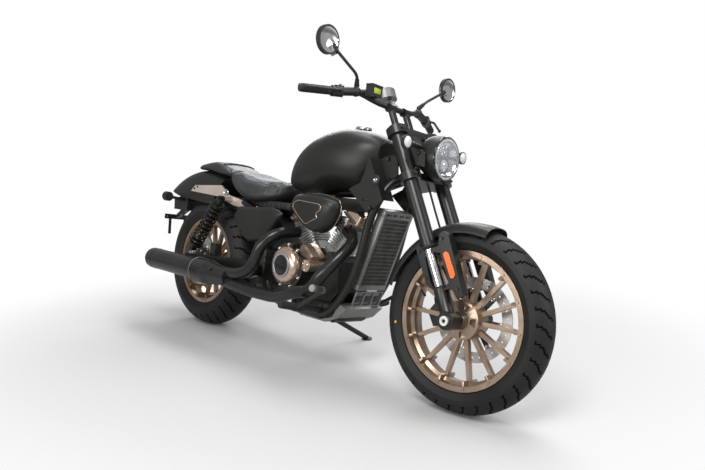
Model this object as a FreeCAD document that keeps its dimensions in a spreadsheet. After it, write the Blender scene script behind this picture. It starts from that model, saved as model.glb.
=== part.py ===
import FreeCAD, Part
import Sketcher
import math
import os

Vector = FreeCAD.Vector
Rotation = FreeCAD.Rotation
Placement = FreeCAD.Placement

# Cruiser motorcycle, leaning on its side stand.
# Millimetres and degrees. Every piece is drawn on the upright machine: x forward from the rear axle,
# y to the left, z up from the ground. The steered pieces are then turned, and the machine is leaned.

doc = FreeCAD.newDocument("CruiserMotorcycle")
sheet = doc.addObject("Spreadsheet::Sheet", "Sizes")

sizes = {
    # whole machine
    "wheelBase": 1530,
    "frontSpan": 612,
    "bodyHeight": 1000,
    "bodyWidth": 200,
    "leanAngle": 9.7,
    "restSteerAngle": 2.6,
    "rakeAngle": 28,
    "forkOffset": 46,
    "centreShiftX": -717,
    "centreShiftY": -181,
    "fitGap": 0.4,
    "boltRadius": 5,
    # tyres and rims
    "frontTyreRadius": 321,
    "frontCrownRadius": 63,
    "frontRimRadius": 240,
    "frontRimHalfWidth": 48,
    "rearTyreRadius": 318.5,
    "rearCrownRadius": 87,
    "rearRimRadius": 211,
    "rearRimHalfWidth": 64,
    "flangeHeight": 12,
    "rimWall": 6,
    "rimWellDepth": 24,
    "spokeCount": 14,
    "spokeWidth": 17,
    "spokeDepth": 20,
    "hubRadius": 68,
    "hubHalfWidth": 34,
    "hubBore": 13,
    "collarRadius": 17,
    "runningGap": 1,
    "ribWidth": 9,
    "ribHeight": 6,
    "windowCount": 5,
    "windowDepth": 14,
    "carrierArms": 7,
    "axleHead": 8,
    "rearDiscOffset": 82,
    # axles and brakes
    "axleRadius": 10,
    "axleBore": 6,
    "axleSocket": 60,
    "discThickness": 5,
    "frontDiscRadius": 150,
    "frontDiscInner": 112,
    "rearDiscRadius": 120,
    "rearDiscInner": 85,
    "discOffset": 52,
    "discHoleRadius": 4,
    "discHoleCount": 30,
    # fork
    "forkSpread": 100,
    "forkTubeRadius": 26,
    "sliderRadius": 20,
    "forkTop": 735,
    "sealHeight": 262,
    "axleClampTop": 112,
    "axleClampRadius": 31,
    "lowerClampHeight": 515,
    "upperClampHeight": 700,
    "clampThickness": 30,
    "clampWall": 12,
    # steering head
    "headTubeRadius": 30,
    "stemRadius": 13,
    # handlebar
    "barRadius": 11,
    "gripRadius": 16,
    "gripLength": 125,
    # frame
    "railRadius": 16,
    "railSpread": 106,
    "backboneRadius": 19,
    # tank, seat
    "tankHalfWidth": 150,
    "seatHalfWidth": 145,
    # fenders
    "fenderWall": 3,
    "frontFenderGap": 14,
    "frontFenderHalf": 68,
    "rearFenderHalf": 98,
    # engine
    "caseHalfWidth": 84,
    "clutchRadius": 77,
    "flangeRadius": 93,
    "pumpRadius": 24,
    "pumpReach": 175,
    "clutchFace": 215,
    "cylinderRadius": 42,
    "finHalfLong": 50,
    "finHalfWide": 56,
    "finCorner": 18,
    "barrelFoot": 36,
    "headStep": 15,
    "headInset": 11,
    "cylinderLean": 33,
    "finCount": 11,
    "finPitch": 12,
    "finThickness": 3,
    # exhaust
    "mufflerRadius": 50,
    "sleeveRadius": 57,
    "sleeveLength": 132,
    "sleeveTaper": 110,
    "chevronCount": 3,
    "chevronPitch": 23,
    "chevronWidth": 6,
    "chevronDepth": 6,
    "outletRadius": 30,
    "pipeRadius": 25,
    "exhaustOffset": 222,
    # radiator
    "radiatorHalfWidth": 80,
    "radiatorDepth": 34,
    # suspension
    "springRadius": 29,
    "springWire": 5,
    # lamps
    "headlightRadius": 84,
    "indicatorRadius": 24,
    "mirrorRadius": 51,
    "axleHeadRadius": 17,
    "guardDepth": 34,
    "guardLong": 140,
    "guardTall": 230,
    "guardLow": 60,
    "reflectorDepth": 5,
    "barHalf": 400,
    "barEnd": 8,
    "riserSpread": 45,
    "riserRadius": 17,
    "headlightDepth": 110,
    "headlightAhead": 107,
    "headlightRise": 24.4,
    "signalAhead": 74.3,
    "signalRise": 76.9,
    "bracketWall": 6,
    "signalSpread": 177,
    "signalDepth": 28,
    "stalkRadius": 8,
    "mirrorBase": 194,
    "mirrorReach": 180,
    "mirrorDepth": 16,
    "stemWire": 5.6,
    "gaugeRadius": 42,
    "gaugeDepth": 40,
    "reservoirSpread": 150,
    "reservoirLong": 58,
    "reservoirDeep": 32,
    "reservoirTall": 40,
    "frontFenderDrop": 38,
    "frontFenderStartAngle": 76,
    "frontFenderEndAngle": 166,
    "armWidth": 28,
    "armTall": 68,
    "bridgeDepth": 46,
    "shockEye": 12,
    "springTurns": 9,
    "tunnelGap": 0.6,
    "capRadius": 32,
    "capHeight": 11,
    "capSink": 2,
    "rearFenderDrop": 190,
    "rearFenderStartAngle": 70,
    "rearFenderEndAngle": 138,
    "strutWall": 8,
    "sideCoverDepth": 26,
    "batteryHalf": 58,
    "crossRadius": 12,
    "cheekHalf": 62,
    "lugHeight": 306,
    "coverDepth": 34,
    "cylinderBase": 100,
    "cylinderTop": 285,
    "headCoverDepth": 40,
    "airCleanerBack": 150,
    "intakeRadius": 34,
    "mufflerLength": 560,
    "mufflerWall": 3,
    "bracketDrop": 70,
    "pegReach": 310,
    "pegRadius": 13,
    "pedalOffset": 235,
    "standOffset": 124,
    "standReach": 372,
    "standRadius": 11,
    "standSole": 6,
    "standFoot": 24,
    "standEye": 15,
    "pivotRadius": 9,
    "plateHoleRadius": 3.5,
    "plateHoleSpread": 61.5,
    "plateReach": 73.5,
    "beltOffset": 108,
    "beltWidth": 18,
    "beltThickness": 4,
    "beltGap": 0.8,
    "pulleyRadius": 76,
    "sprocketRadius": 32,
    "padGap": 1.5,
    "caliperHalf": 20,
    "hoseRadius": 4,
    "leverRadius": 5,
    "perchDrop": 21,
    "switchLength": 40,
}


class Size(float):
    """A number of the sheet that keeps the expression it came from."""

    def __new__(cls, number, text=None):
        made = super().__new__(cls, number)
        made.text = text if text is not None else repr(float(number))
        return made

    def join(self, sign, other, number, swapped=False):
        other_text = other.text if isinstance(other, Size) else repr(float(other))
        left, right = (other_text, self.text) if swapped else (self.text, other_text)
        return Size(number, f"({left} {sign} {right})")

    def __add__(self, other):
        return self.join("+", other, float(self) + float(other))

    def __radd__(self, other):
        return self.join("+", other, float(self) + float(other), True)

    def __sub__(self, other):
        return self.join("-", other, float(self) - float(other))

    def __rsub__(self, other):
        return self.join("-", other, float(other) - float(self), True)

    def __mul__(self, other):
        return self.join("*", other, float(self) * float(other))

    def __rmul__(self, other):
        return self.join("*", other, float(self) * float(other), True)

    def __truediv__(self, other):
        return self.join("/", other, float(self) / float(other))

    def __neg__(self):
        return Size(-float(self), f"(-{self.text})")


for row, (name, number) in enumerate(sizes.items(), start=1):
    sheet.set(f"A{row}", name)
    sheet.set(f"B{row}", repr(number))
    sheet.setAlias(f"B{row}", name)
doc.recompute()


class Sheet:
    """The sheet's cells by name."""

    def __getattr__(self, name):
        return Size(sheet.get(name), f"Sizes.{name}")


d = Sheet()
pieces = []


# Helpers for bodies and sketches

def origin_plane(body, role):
    return next(part for part in body.Origin.OriginFeatures if part.Role == role)


def new_body(label, place):
    body = doc.addObject("PartDesign::Body", label)
    body.Placement = place
    pieces.append(body)
    return body


def sketch_on(body, name, role, lift=0.0):
    made = body.newObject("Sketcher::SketchObject", name)
    made.AttachmentSupport = [(origin_plane(body, role), "")]
    made.MapMode = "FlatFace"
    if lift:
        made.AttachmentOffset = Placement(Vector(0, 0, lift), Rotation())
        made.setExpression("AttachmentOffset.Base.z", lift.text)
    return made


def hold(sketch, kind, amount, *where):
    index = sketch.addConstraint(Sketcher.Constraint(kind, *where, float(amount)))
    if isinstance(amount, Size):
        sketch.setExpression(f"Constraints[{index}]", amount.text)


def hold_point(sketch, geometry, corner, x, y):
    for kind, amount, axis in (("DistanceX", x, -2), ("DistanceY", y, -1)):
        if abs(amount) < tiny:
            sketch.addConstraint(Sketcher.Constraint("PointOnObject", geometry, corner, axis))
        else:
            hold(sketch, kind, amount, -1, 1, geometry, corner)


def outline(sketch, points):
    first = sketch.GeometryCount
    count = len(points)
    for here in range(count):
        start, end = points[here], points[(here + 1) % count]
        sketch.addGeometry(Part.LineSegment(Vector(*start, 0), Vector(*end, 0)))
    for here in range(count):
        joined = (first + here, 2, first + (here + 1) % count, 1)
        sketch.addConstraint(Sketcher.Constraint("Coincident", *joined))
    for here, (x, y) in enumerate(points):
        hold_point(sketch, first + here, 1, x, y)


def circle(sketch, radius, x=0.0, y=0.0):
    round_edge = Part.Circle(Vector(x, y, 0), Vector(0, 0, 1), radius)
    geometry = sketch.addGeometry(round_edge)
    if abs(x) < tiny and abs(y) < tiny:
        sketch.addConstraint(Sketcher.Constraint("Coincident", geometry, 3, -1, 1))
    else:
        hold_point(sketch, geometry, 3, x, y)
    hold(sketch, "Radius", radius, geometry)


def pad(body, sketch, name, length, symmetric=False, reverse=False):
    made = body.newObject("PartDesign::Pad", name)
    made.Profile = sketch
    made.Length = float(length)
    if isinstance(length, Size):
        made.setExpression("Length", length.text)
    if symmetric:
        made.SideType = "Symmetric"
    made.Reversed = reverse
    doc.recompute()
    return made


def pocket(body, sketch, name, length, symmetric=False, reverse=False):
    before = body.Shape.Volume
    made = body.newObject("PartDesign::Pocket", name)
    made.Profile = sketch
    made.Length = float(length)
    if isinstance(length, Size):
        made.setExpression("Length", length.text)
    if symmetric:
        made.SideType = "Symmetric"
    made.Reversed = reverse
    doc.recompute()
    if body.Shape.Volume >= before:
        raise ValueError(f"{name} cuts nothing")
    return made


def turned(body, sketch, name, axis="V_Axis"):
    made = body.newObject("PartDesign::Revolution", name)
    made.Profile = sketch
    made.ReferenceAxis = (sketch, [axis])
    made.Angle = 360
    doc.recompute()
    return made


def ring_pattern(body, sketch, name, features, count):
    made = body.newObject("PartDesign::PolarPattern", name)
    made.Originals = features
    made.Axis = (sketch, ["N_Axis"])
    made.Angle = 360
    made.Occurrences = int(count)
    if isinstance(count, Size):
        made.setExpression("Occurrences", count.text)
    body.Tip = made
    doc.recompute()
    return made


# Helpers for free forms

def feature(label, shape, place):
    made = doc.addObject("Part::Feature", label)
    made.Shape = shape
    made.Placement = place
    pieces.append(made)
    return made


def bent_path(points, largest=None):
    """Straight runs joined by tangent arcs, each as large as its two runs allow."""
    points = [Vector(*point) for point in points]
    edges = []
    start = points[0]
    for before, corner, after in zip(points, points[1:], points[2:]):
        inward, outward = (before - corner).normalize(), (after - corner).normalize()
        half_turn = (math.pi - inward.getAngle(outward)) / 2
        run = min((before - corner).Length, (after - corner).Length)
        reach = run * arc_share
        if largest:
            reach = min(reach, largest * math.tan(half_turn))
        if half_turn < straight:
            continue
        radius = reach / math.tan(half_turn)
        entry, leave = corner + inward * reach, corner + outward * reach
        middle = (inward + outward).normalize()
        crown = corner + middle * (radius / math.cos(half_turn) - radius)
        edges.append(Part.LineSegment(start, entry).toShape())
        edges.append(Part.Arc(entry, crown, leave).toShape())
        start = leave
    edges.append(Part.LineSegment(start, points[-1]).toShape())
    return Part.Wire(edges)


def tube(points, radius, largest=None):
    path = bent_path(points, largest)
    start = path.OrderedEdges[0]
    heading = start.tangentAt(start.FirstParameter)
    section = Part.Wire(Part.makeCircle(radius, start.valueAt(start.FirstParameter), heading))
    return path.makePipeShell([section], True, True)


def loft_solid(wires, ruled=False):
    """A closed solid through the wires, whichever way they run."""
    shape = Part.makeLoft(wires, True, ruled)
    return Part.makeSolid(shape.Shells[0].reversed()) if shape.Volume < 0 else shape


def rounded_wire(half_x, half_y, corner, z):
    """A rectangle with round corners about the upright axis."""
    arcs = []
    for turn, (side_x, side_y) in enumerate(((1, 1), (-1, 1), (-1, -1), (1, -1))):
        middle = Vector(side_x * (half_x - corner), side_y * (half_y - corner), z)
        quarter = Part.Circle(middle, Vector(0, 0, 1), corner)
        arcs.append(Part.Arc(quarter, math.pi / 2 * turn, math.pi / 2 * (turn + 1)))
    edges = []
    for here, after in zip(arcs, arcs[1:] + arcs[:1]):
        edges += [here.toShape(), Part.LineSegment(here.EndPoint, after.StartPoint).toShape()]
    return Part.Wire(edges)


def rounded_block(half_x, half_y, corner, low, tall, inset=0.0):
    """A block with round corners on the upright axis, drawn in by inset at its top."""
    foot = rounded_wire(half_x, half_y, corner, low)
    top = rounded_wire(half_x - inset, half_y - inset, corner - inset / 2, low + tall)
    return loft_solid([foot, top], True)


def layered(points, start, depth, layers, smooth):
    """An outline in x and z stacked along y from start, each layer drawn in towards the middle."""
    middle_x = sum(x for x, z in points) / len(points)
    middle_z = sum(z for x, z in points) / len(points)
    wires = []
    for out, spread in layers:
        y = start + depth * out
        middle = Vector(middle_x, y, middle_z)
        ring = [middle + Vector(x - middle_x, 0, z - middle_z) * spread for x, z in points]
        if smooth:
            curve = Part.BSplineCurve()
            curve.interpolate(ring, PeriodicFlag=True)
            wires.append(Part.Wire(curve.toShape()))
        else:
            wires.append(Part.makePolygon(ring + ring[:1]))
    return loft_solid(wires, not smooth)


def fused(shapes):
    whole = shapes[0]
    if len(shapes) > 1:
        whole = shapes[0].multiFuse(shapes[1:])
    return whole.removeSplitter()


def prism(points, depth, normal):
    """A flat outline of points pushed along normal by depth."""
    corners = [Vector(*point) for point in points]
    face = Part.Face(Part.makePolygon(corners + corners[:1]))
    return face.extrude(Vector(*normal) * depth)


def side_plate(outline_points, low, high):
    """An outline in x and z, solid between the two values of y."""
    flat = [Vector(x, low, z) for x, z in outline_points]
    face = Part.Face(Part.makePolygon(flat + flat[:1]))
    return face.extrude(Vector(0, high - low, 0))


def biggest(shape):
    return max(shape.Solids, key=lambda solid: solid.Volume)


def rod(start, end, radius):
    start, end = Vector(*start), Vector(*end)
    return Part.makeCylinder(radius, (end - start).Length, start, end - start)


def section(x, low, high, half, power):
    """A closed cross-section at x, flatter at its sides as power grows."""
    middle, tall = (low + high) / 2, (high - low) / 2
    points = []
    for step in range(section_steps):
        angle = 2 * math.pi * step / section_steps
        across, up = math.cos(angle), math.sin(angle)
        y = half * math.copysign(abs(across) ** (2 / power), across)
        z = middle + tall * math.copysign(abs(up) ** (2 / power), up)
        points.append(Vector(x, y, z))
    curve = Part.BSplineCurve()
    curve.interpolate(points, PeriodicFlag=True)
    return Part.Wire(curve.toShape())


def hull(stations):
    return loft_solid([section(*station) for station in stations])


def along_base(x_share):
    """How far ahead of the rear axle: the front end keeps its distance to the front axle."""
    middle = d.wheelBase - d.frontSpan
    if x_share > front_share:
        return middle + d.frontSpan * ((x_share - front_share) / (1 - front_share))
    return middle * (x_share / front_share)


def at(x_share, y, z_share):
    """A place on the upright machine: shares of the wheelbase and of the body's height."""
    return Vector(along_base(x_share), y, d.bodyHeight * z_share)


def spot(place_share, y=0.0):
    """A place given as one pair of shares, y to its left."""
    return at(place_share[0], y, place_share[1])


def side_points(shares):
    return [(along_base(x), d.bodyHeight * z) for x, z in shares]


# Where the axles and the three groups of pieces stand

def leaned_wheel_depth(axle_height):
    """How far below the ground the front tyre reaches once it is turned and leaned."""
    turn = Rotation(steering_axis, d.restSteerAngle)
    pivot = Vector(d.wheelBase, 0, axle_height) - fork_forward * d.forkOffset
    centre = pivot + turn.multVec(fork_forward * d.forkOffset)
    spin = upright_lean.multVec(turn.multVec(Vector(0, 1, 0)))
    ring = d.frontTyreRadius - d.frontCrownRadius
    bottom = upright_lean.multVec(centre).z + ground_lift
    return ring * math.sqrt(1 - spin.z ** 2) + d.frontCrownRadius - bottom


tiny = 1e-9
straight = 1e-4
arc_share = 0.45
front_share = 0.6
section_steps = 14
crown_steps = 3
spring_sides = 6
rake = math.radians(d.rakeAngle)
lean_turn = math.radians(d.leanAngle)
steering_axis = Vector(-math.sin(rake), 0, math.cos(rake))
fork_forward = Vector(math.cos(rake), 0, math.sin(rake))
upright_lean = Rotation(Vector(1, 0, 0), -d.leanAngle)
ground_lift = d.rearCrownRadius * (1 - math.cos(lean_turn))
front_axle_height = d.frontTyreRadius
for refine in range(4):
    front_axle_height += leaned_wheel_depth(front_axle_height)
front_axle = Vector(d.wheelBase, 0, front_axle_height)
rear_axle = Vector(0, 0, d.rearTyreRadius)

lean = Placement(Vector(d.centreShiftX, d.centreShiftY, ground_lift), upright_lean)
steering_pivot = front_axle - fork_forward * d.forkOffset
steer_turn = Placement(Vector(0, 0, 0), Rotation(steering_axis, d.restSteerAngle), steering_pivot)
steer = lean * steer_turn
fork = steer * Placement(front_axle, Rotation(Vector(0, 1, 0), -d.rakeAngle))
front_hub = steer * Placement(front_axle, Rotation())
rear_hub = lean * Placement(rear_axle, Rotation())


# Wheels

def tyre(label, place, radius, crown, rim_radius, rim_half):
    """A solid ring whose crown has a corner where the leaned wheel meets the ground."""
    bead = rim_radius - d.flangeHeight
    inside = rim_half - d.rimWall
    shoulder = radius - crown
    lip = rim_radius + d.fitGap
    corners = [(bead, inside), (lip, inside), (lip, rim_half)]
    half = []
    for step in range(crown_steps + 1):
        angle = lean_turn + (math.pi / 2 - lean_turn) * step / crown_steps
        half.append((shoulder + crown * math.cos(angle), crown * math.sin(angle)))
    tread = [Vector(r, -y, 0) for r, y in reversed(half)] + [Vector(r, y, 0) for r, y in half]
    right = [Vector(r, -y, 0) for r, y in corners]
    left = [Vector(r, y, 0) for r, y in reversed(corners)]
    face = Part.Face(Part.makePolygon(right + tread + left + right[:1]))
    feature(label, face.revolve(Vector(0, 0, 0), Vector(0, 1, 0), 360), place)


def rim(label, place, radius, half):
    body = new_body(label, place)
    hub = sketch_on(body, label + "_hub_line", "XY_Plane")
    shoulder = d.hubRadius / 2
    face = d.hubHalfWidth + d.rimWall
    right = [(d.hubBore, -face), (shoulder, -face), (d.hubRadius, -d.hubHalfWidth)]
    outline(hub, right + [(r, -y) for r, y in reversed(right)])
    turned(body, hub, label + "_hub")
    seat, well = radius - d.flangeHeight, radius - d.rimWellDepth
    spoke = sketch_on(body, label + "_spoke_line", "XZ_Plane")
    root, tip, side = d.hubRadius - d.rimWall, well - d.rimWall / 2, d.spokeWidth / 2
    slim = side * spoke_tip_share
    outline(spoke, [(root, -side), (tip, -slim), (tip, slim), (root, side)])
    arm = pad(body, spoke, label + "_spoke", d.spokeDepth, symmetric=True)
    ring_pattern(body, spoke, label + "_spokes", [arm], d.spokeCount)
    barrel = sketch_on(body, label + "_barrel_line", "XY_Plane")
    wall = d.rimWall
    top = [(radius, half), (radius, half - wall), (seat, half - wall),
           (seat, half * 0.5), (well, half * 0.36)]
    under = [(seat - wall, half), (seat - wall, half * 0.5 - wall / 2),
             (well - wall, half * 0.36 - wall / 2)]
    outer = top + [(r, -y) for r, y in reversed(top)]
    inner = under + [(r, -y) for r, y in reversed(under)]
    outline(barrel, outer + list(reversed(inner)))
    turned(body, barrel, label + "_barrel")
    rib = sketch_on(body, label + "_rib_line", "XZ_Plane")
    low, high, edge = well - wall - d.ribHeight, seat - wall / 2, d.ribWidth / 2
    outline(rib, [(low, -edge), (high, -edge), (high, edge), (low, edge)])
    bar = pad(body, rib, label + "_rib", half * 2 - wall, symmetric=True)
    ring_pattern(body, rib, label + "_ribs", [bar], d.spokeCount)
    window = sketch_on(body, label + "_window_line", "XZ_Plane", face)
    near, far = d.hubRadius * 0.56, d.hubRadius * 0.86
    narrow, wide = d.hubRadius * 0.14, d.hubRadius * 0.24
    outline(window, [(near, -narrow), (far, -wide), (far, wide), (near, narrow)])
    cut = pocket(body, window, label + "_window", d.windowDepth)
    ring_pattern(body, window, label + "_windows", [cut], d.windowCount)


spoke_tip_share = 0.72


def brake_disc(label, place, radius, inner, offset):
    body = new_body(label, place)
    plate = sketch_on(body, label + "_ring", "XZ_Plane", -offset)
    circle(plate, radius)
    circle(plate, inner)
    pad(body, plate, label + "_plate", d.discThickness, symmetric=True)
    hole = sketch_on(body, label + "_hole_line", "XZ_Plane", -offset)
    circle(hole, d.discHoleRadius, (radius + inner) / 2)
    cut = pocket(body, hole, label + "_hole", d.discThickness * 2, symmetric=True)
    ring_pattern(body, hole, label + "_holes", [cut], d.discHoleCount)


def disc_carrier(label, place, outer, offset, side):
    """A bell on the hub with arms out to the disc, just inside it."""
    face = d.hubHalfWidth + d.rimWall
    near, far = side * (face + d.fitGap), side * (offset + d.discThickness / 2)
    start, long = min(near, far), abs(far - near)
    bell = Part.makeCylinder(d.hubRadius * 0.9, long, Vector(0, start, 0), Vector(0, 1, 0))
    bore = Part.makeCylinder(d.collarRadius + d.runningGap, long, Vector(0, start, 0), Vector(0, 1, 0))
    arms = []
    reach = outer - d.fitGap
    for turn in range(int(d.carrierArms)):
        arm = Part.makeBox(reach, d.discThickness, d.spokeWidth)
        arm.translate(Vector(0, side * offset - d.discThickness / 2, -d.spokeWidth / 2))
        arm.rotate(Vector(0, 0, 0), Vector(0, 1, 0), 360 * turn / d.carrierArms)
        arms.append(arm)
    body = fused([bell] + arms).cut(bore)
    foot = Vector(0, start - long / 2, 0)
    limit = Part.makeCylinder(reach, long * 2 + d.discThickness, foot, Vector(0, 1, 0))
    feature(label, body.common(limit), place)


def axle_body(label, place, waist, ends):
    """A bar with its heads and collars, and a socket for a stand's pin in its right end."""
    half = waist + ends
    top = ends[-1][1]
    socket = [(0.0, top), (0.0, d.axleSocket - top), (d.axleBore, d.axleSocket - top), (d.axleBore, -top)]
    body = new_body(label, place)
    drawn = sketch_on(body, label + "_line", "XY_Plane")
    outline(drawn, half + socket + [(r, -y) for r, y in reversed(half)])
    turned(body, drawn, label + "_bar")


tyre("front_tyre", front_hub, d.frontTyreRadius, d.frontCrownRadius, d.frontRimRadius, d.frontRimHalfWidth)
tyre("rear_tyre", rear_hub, d.rearTyreRadius, d.rearCrownRadius, d.rearRimRadius, d.rearRimHalfWidth)
rim("front_rim", front_hub, d.frontRimRadius, d.frontRimHalfWidth)
rim("rear_rim", rear_hub, d.rearRimRadius, d.rearRimHalfWidth)
brake_disc("front_disc", front_hub, d.frontDiscRadius, d.frontDiscInner, d.discOffset)
brake_disc("rear_disc", rear_hub, d.rearDiscRadius, d.rearDiscInner, -d.rearDiscOffset)
disc_carrier("front_disc_carrier", front_hub, d.frontDiscInner, d.discOffset, 1)
disc_carrier("rear_disc_carrier", rear_hub, d.rearDiscInner, d.rearDiscOffset, -1)


# Fork and steering, drawn in the fork's own frame: z along the tubes from the axle, x ahead of them

def fork_legs():
    length = d.forkTop - d.sealHeight
    low, high, sleeves = [], [], []
    for side in (-1, 1):
        foot = Vector(0, side * d.forkSpread, 0)
        seal, clamp = Vector(0, 0, d.sealHeight), Vector(0, 0, d.axleClampTop)
        high.append(Part.makeCylinder(d.forkTubeRadius, length, foot + seal))
        low.append(Part.makeCylinder(d.sliderRadius, d.sealHeight - d.axleClampTop, foot + clamp))
        leg = Part.makeCylinder(d.axleClampRadius * 0.85, d.axleClampTop, foot)
        inner = foot - Vector(0, side * d.axleClampRadius, 0)
        boss = Part.makeCylinder(d.axleClampRadius, d.axleClampRadius * 2, inner, Vector(0, side, 0))
        hole = Part.makeCylinder(d.axleRadius + d.fitGap, d.axleClampRadius * 2, inner, Vector(0, side, 0))
        sleeves.append(leg.fuse(boss).cut(hole).removeSplitter())
    feature("fork_tubes", Part.makeCompound(high), fork)
    feature("fork_sliders", Part.makeCompound(low), fork)
    feature("axle_clamps", Part.makeCompound(sleeves), fork)


def front_axle_bar():
    """A bar with a head outside each clamp and a collar on each side of the hub."""
    inner, outer = d.forkSpread - d.axleClampRadius, d.forkSpread + d.axleClampRadius
    hub_face = d.hubHalfWidth + d.rimWall
    collar, gap = d.collarRadius, d.fitGap
    ends = [(d.axleRadius, outer + gap), (d.axleHeadRadius, outer + gap),
            (d.axleHeadRadius, outer + gap + d.axleHead)]
    waist = [(d.axleRadius, hub_face + d.runningGap), (collar, hub_face + d.runningGap),
             (collar, inner - gap), (d.axleRadius, inner - gap)]
    axle_body("front_axle", front_hub, waist, ends)


guard_shares = [(-0.31, 0.93), (-0.2, 0.97), (-0.08, 0.83), (0.34, 0.83), (0.44, 0.98), (0.57, 1.0),
                (0.69, 0.92), (0.66, 0.6), (0.6, 0.0), (0.41, 0.0), (0.36, 0.15), (-0.07, 0.2),
                (-0.22, 0.28), (-0.31, 0.35)]
guard_window_shares = [(-0.13, 0.74), (0.18, 0.76), (0.33, 0.71), (0.33, 0.26), (0.18, 0.2),
                       (-0.1, 0.23), (-0.17, 0.35)]


def fork_guards():
    """Cast brackets round the sliders that carry the fender and the reflectors."""
    guards, lamps = [], []
    for side in (-1, 1):
        inner, outer = d.forkSpread - d.guardDepth / 2, d.forkSpread + d.guardDepth / 2
        low, high = sorted((side * inner, side * outer))
        shape = side_plate(guard_line(guard_shares), low, high)
        shape = shape.cut(side_plate(guard_line(guard_window_shares), low, high))
        foot = Vector(0, side * d.forkSpread, 0)
        for radius in (d.forkTubeRadius, d.axleClampRadius * 0.85):
            start = d.sealHeight if radius == d.forkTubeRadius else 0
            end = d.forkTop if start else d.axleClampTop
            bar = Part.makeCylinder(radius + d.fitGap, end - start + d.fitGap, foot + Vector(0, 0, start))
            shape = shape.cut(bar)
        slider = Part.makeCylinder(d.sliderRadius + d.fitGap, d.forkTop, foot)
        guards.append(shape.cut(slider))
        face = max(abs(low), abs(high)) * side
        lamp = [(d.guardLong * x, d.guardLow + d.guardTall * z) for x, z in reflector_shares]
        near, far = sorted((face, face + side * d.reflectorDepth))
        lamps.append(side_plate(lamp, near, far))
    feature("fork_guards", Part.makeCompound([solid for guard in guards for solid in guard.Solids]), fork)
    feature("fork_reflectors", Part.makeCompound(lamps), fork)


reflector_shares = [(0.41, 0.68), (0.5, 0.7), (0.56, 0.66), (0.57, 0.32), (0.5, 0.28), (0.42, 0.3)]


def guard_line(shares):
    return [(d.guardLong * x, d.guardLow + d.guardTall * z) for x, z in shares]


def yoke(height):
    """A clamp plate round both tubes and the stem."""
    half = d.forkSpread
    outer = d.forkTubeRadius + d.clampWall
    reach_back = d.headTubeRadius
    solids = []
    for side in (-1, 1):
        foot = Vector(0, side * half, height)
        solids.append(Part.makeCylinder(outer, d.clampThickness, foot))
    web = d.forkTubeRadius * 0.9
    corners = [(web, -half), (web, half), (-web, half), (-d.forkOffset - reach_back, d.headTubeRadius),
               (-d.forkOffset - reach_back, -d.headTubeRadius), (-web, -half)]
    solids.append(prism([(x, y, height) for x, y in corners], d.clampThickness, (0, 0, 1)))
    plate = fused(solids)
    for side in (-1, 1):
        foot = Vector(0, side * half, height)
        plate = plate.cut(Part.makeCylinder(d.forkTubeRadius + d.fitGap, d.clampThickness, foot))
    return plate


riser_share = (0.722, 1.052)


def riser_top(side):
    """The middle of a bar clamp in the fork's frame."""
    return fork.inverse().multiply(steer).multVec(spot(riser_share, side * d.riserSpread))


def triple_clamps():
    """Both yokes on the stem, with the posts that hold the bar."""
    foot = Vector(-d.forkOffset, 0, d.lowerClampHeight)
    length = d.upperClampHeight + d.clampThickness - d.lowerClampHeight
    stem = Part.makeCylinder(d.stemRadius, length, foot)
    nut = Part.makeCylinder(d.stemRadius * 1.6, d.axleHead, foot + Vector(0, 0, length))
    solids = [yoke(d.upperClampHeight), yoke(d.lowerClampHeight), stem, nut]
    for side in (-1, 1):
        top = riser_top(side)
        base = Vector(top.x, top.y, d.upperClampHeight + d.clampThickness / 2)
        web = Vector(-d.forkOffset * 0.5, top.y, d.upperClampHeight + d.clampThickness / 2)
        solids.append(rod(base, top, d.riserRadius * 0.8))
        solids.append(rod(web, base + (web - base) * -0.2, d.clampThickness / 2))
        across = Vector(0, d.riserRadius, 0)
        solids.append(rod(top - across, top + across, d.riserRadius))
    whole = fused(solids)
    bar = tube(bar_route(), d.barRadius + d.fitGap)
    bar.Placement = fork.inverse().multiply(steer)
    feature("triple_clamps", biggest(whole.cut(bar)), fork)


bar_shares = [(0.725, 0.0, 1.052), (0.705, 0.25, 1.062), (0.69, 0.47, 1.085), (0.678, 0.68, 1.066),
              (0.637, 1.0, 1.052)]


def bar_route():
    right = [at(x, -y * d.barHalf, z) for x, y, z in bar_shares]
    left = [at(x, y * d.barHalf, z) for x, y, z in bar_shares]
    return list(reversed(right)) + left[1:]


def handlebar():
    route = bar_route()
    feature("handlebar", tube(route, d.barRadius), steer)
    grips = []
    for end, inner in ((route[0], route[1]), (route[-1], route[-2])):
        along = (inner - end).normalize()
        start = end - along * d.barEnd
        sleeve = Part.makeCylinder(d.gripRadius, d.gripLength, start, along)
        hollow = Part.makeCylinder(d.barRadius + d.fitGap, d.gripLength, end, along)
        grips.append(sleeve.cut(hollow))
    feature("grips", Part.makeCompound(grips), steer)


def on_fork(ahead, y, above_clamp):
    """A place on the steered machine, from the fork's line and the top of its lower clamp."""
    spot = Vector(ahead, y, d.lowerClampHeight + d.clampThickness + above_clamp)
    return steer.inverse().multiply(fork).multVec(spot)


def headlight():
    centre = on_fork(d.headlightAhead, 0, d.headlightRise)
    radius = d.headlightRadius
    face = centre.x
    stations = []
    for x_share, r_share, rise_share in headlight_shares:
        r = radius * r_share
        middle = centre.z + radius * rise_share
        stations.append((face - d.headlightDepth * x_share, middle - r, middle + r, r, 2))
    shell = hull(list(reversed(stations)))
    for height in (d.lowerClampHeight, d.upperClampHeight):
        shell = shell.cut(in_steering(yoke_room(height)))
    feature("headlight_shell", biggest(shell), steer)
    lens = Part.makeSphere(radius * 1.6, Vector(face - radius * 1.25, 0, centre.z))
    front = Part.makeCylinder(radius * 0.9, radius, Vector(face + d.fitGap, 0, centre.z), Vector(1, 0, 0))
    feature("headlight_lens", lens.common(front), steer)


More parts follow.
